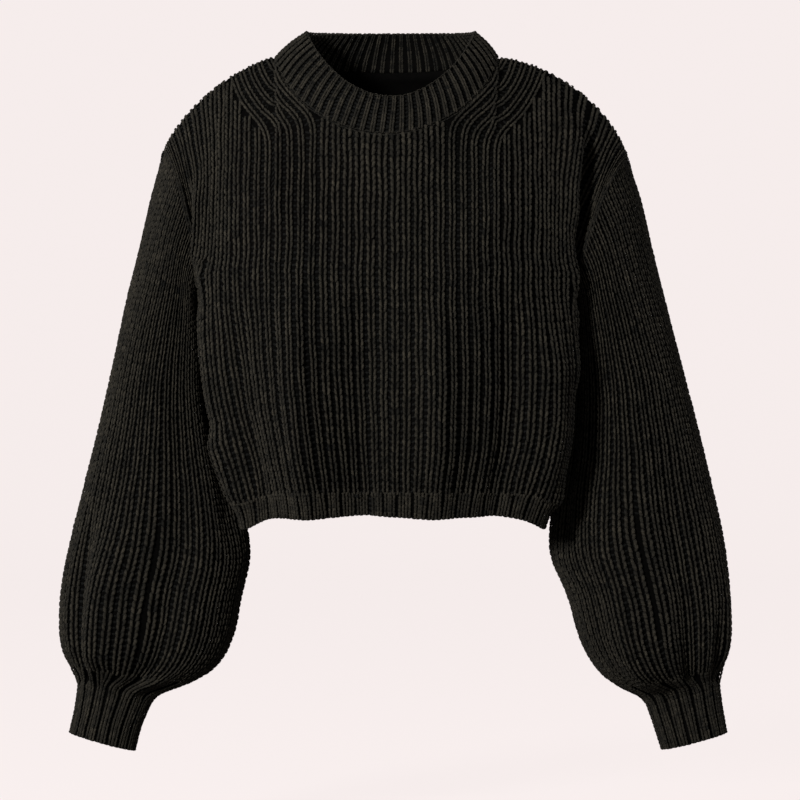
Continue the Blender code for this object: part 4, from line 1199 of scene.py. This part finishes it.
def seam_lines():
    """Lines along the seams, from the same curves as the pieces' edges."""
    turn = np.linspace(-math.pi, math.pi, 700)
    lines = [(collar_surface(turn, np.zeros_like(turn)), collar_normal(turn))]
    for name, sign in SIGNS.items():
        middle, half, front, _ = ring_spokes(name, ARMHOLES[name])
        points = middle + half * np.cos(turn)[:, None] + front * np.sin(turn)[:, None]
        lines.append((points, ring_outward(name, ARMHOLES[name], turn)))
        up = np.linspace(-1.0, UNDERARM_AT, 500)
        side = panel_side(-1, name, up)
        lines.append((side, np.broadcast_to(np.array([float(sign), 0.0, 0.0]), side.shape)))
        across = np.linspace(0.004, NECK_AT, 200)
        shoulder = top_edge(-1, across if sign < 0 else 1 - across)
        slope = np.gradient(shoulder, axis=0)
        lines.append((shoulder, unit(stack(sign * slope[:, 2], 0.0, -sign * slope[:, 0]))))
    return [line_along(points, normals, 1.0, np.ones((len(points), 1))) for points, normals in lines]


seams = knit_stitches("linked_seams", seam_lines(), LINKING_CHAIN, stitch_yarn, 61)
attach(seams, "root")


# ------------------------------
# Studio: a round pale floor that curves up into a backdrop all round, soft light from the
# front and the wearer's right, and a long lens level with the garment's middle.
# ------------------------------
PAPER = "#F5ECEB"
FLOOR_HEIGHT = -0.74
FLOOR_CURVE = 1.5
WALL_RADIUS = 7.0
WALL_HEIGHT = 8.0
WALL_FACES = 96

# Matt backdrop paper, lit evenly and apart from the garment, so it glows by itself.
paper, _, shader = new_material("matt_backdrop_paper")
set_node(shader, {
    "Base Color": (*(0.06 * value for value in linear(PAPER)[:3]), 1.0), "Roughness": 0.9,
    "Specular IOR Level": 0.0, "Emission Color": linear(PAPER), "Emission Strength": 0.985})
foot = WALL_RADIUS - FLOOR_CURVE
profile = [(0.01, 0.0), (foot, 0.0)]
profile += [(foot + FLOOR_CURVE * math.sin(t), FLOOR_CURVE * (1 - math.cos(t)))
            for t in np.linspace(0.1, math.pi / 2, 16)]
profile += [(WALL_RADIUS, WALL_HEIGHT)]
turns = np.linspace(0.0, 2 * math.pi, WALL_FACES, endpoint=False)
vertices = [(radius * math.cos(turn), radius * math.sin(turn), FLOOR_HEIGHT + height)
            for radius, height in profile for turn in turns]
mesh = bpy.data.meshes.new("backdrop")
mesh.from_pydata(vertices, [], wall_grid(len(profile), WALL_FACES, True, 0)[1].tolist())
mesh.shade_smooth()
mesh.materials.append(paper)
backdrop = scene_object("backdrop", mesh)
backdrop.visible_diffuse = False
backdrop.visible_glossy = False


def soft_light(name, place, aim, size, power):
    light = bpy.data.lights.new(name, "AREA")
    light.shape = "SQUARE"
    light.size = size
    light.energy = power
    lamp = scene_object(name, light)
    lamp.location = place
    direction = np.array(aim) - np.array(place)
    lamp.rotation_euler = (math.atan2(math.hypot(direction[0], direction[1]), -direction[2]), 0.0,
                           math.atan2(direction[0], -direction[1]) + math.pi)


MIDDLE = (0.0, 0.0, -0.32)
soft_light("key_softbox", (-1.95, -3.2, 0.75), MIDDLE, 0.6, 200.0)
soft_light("fill_softbox", (0.9, -3.4, 0.9), MIDDLE, 1.8, 8.0)
soft_light("backdrop_softbox_right", (2.6, 0.2, 0.9), (0.6, 1.7, -0.3), 1.2, 30.0)
soft_light("backdrop_softbox_left", (-2.6, 0.2, 0.9), (-0.6, 1.7, -0.3), 1.2, 30.0)
world = bpy.data.worlds.new("studio_air")
world.use_nodes = True
set_node(world.node_tree.nodes["Background"], {"Color": linear("#FFF8F4"), "Strength": 0.12})
bpy.context.scene.world = world
bpy.context.scene.view_settings.view_transform = "Standard"

camera_data = bpy.data.cameras.new("camera")
camera_data.lens = 170.5
camera_data.sensor_width = 36.0
camera = scene_object("camera", camera_data)
camera.location = (0.0057, -3.6, -0.321)
camera.rotation_euler = (math.pi / 2, 0.0, 0.0)
bpy.context.scene.camera = camera
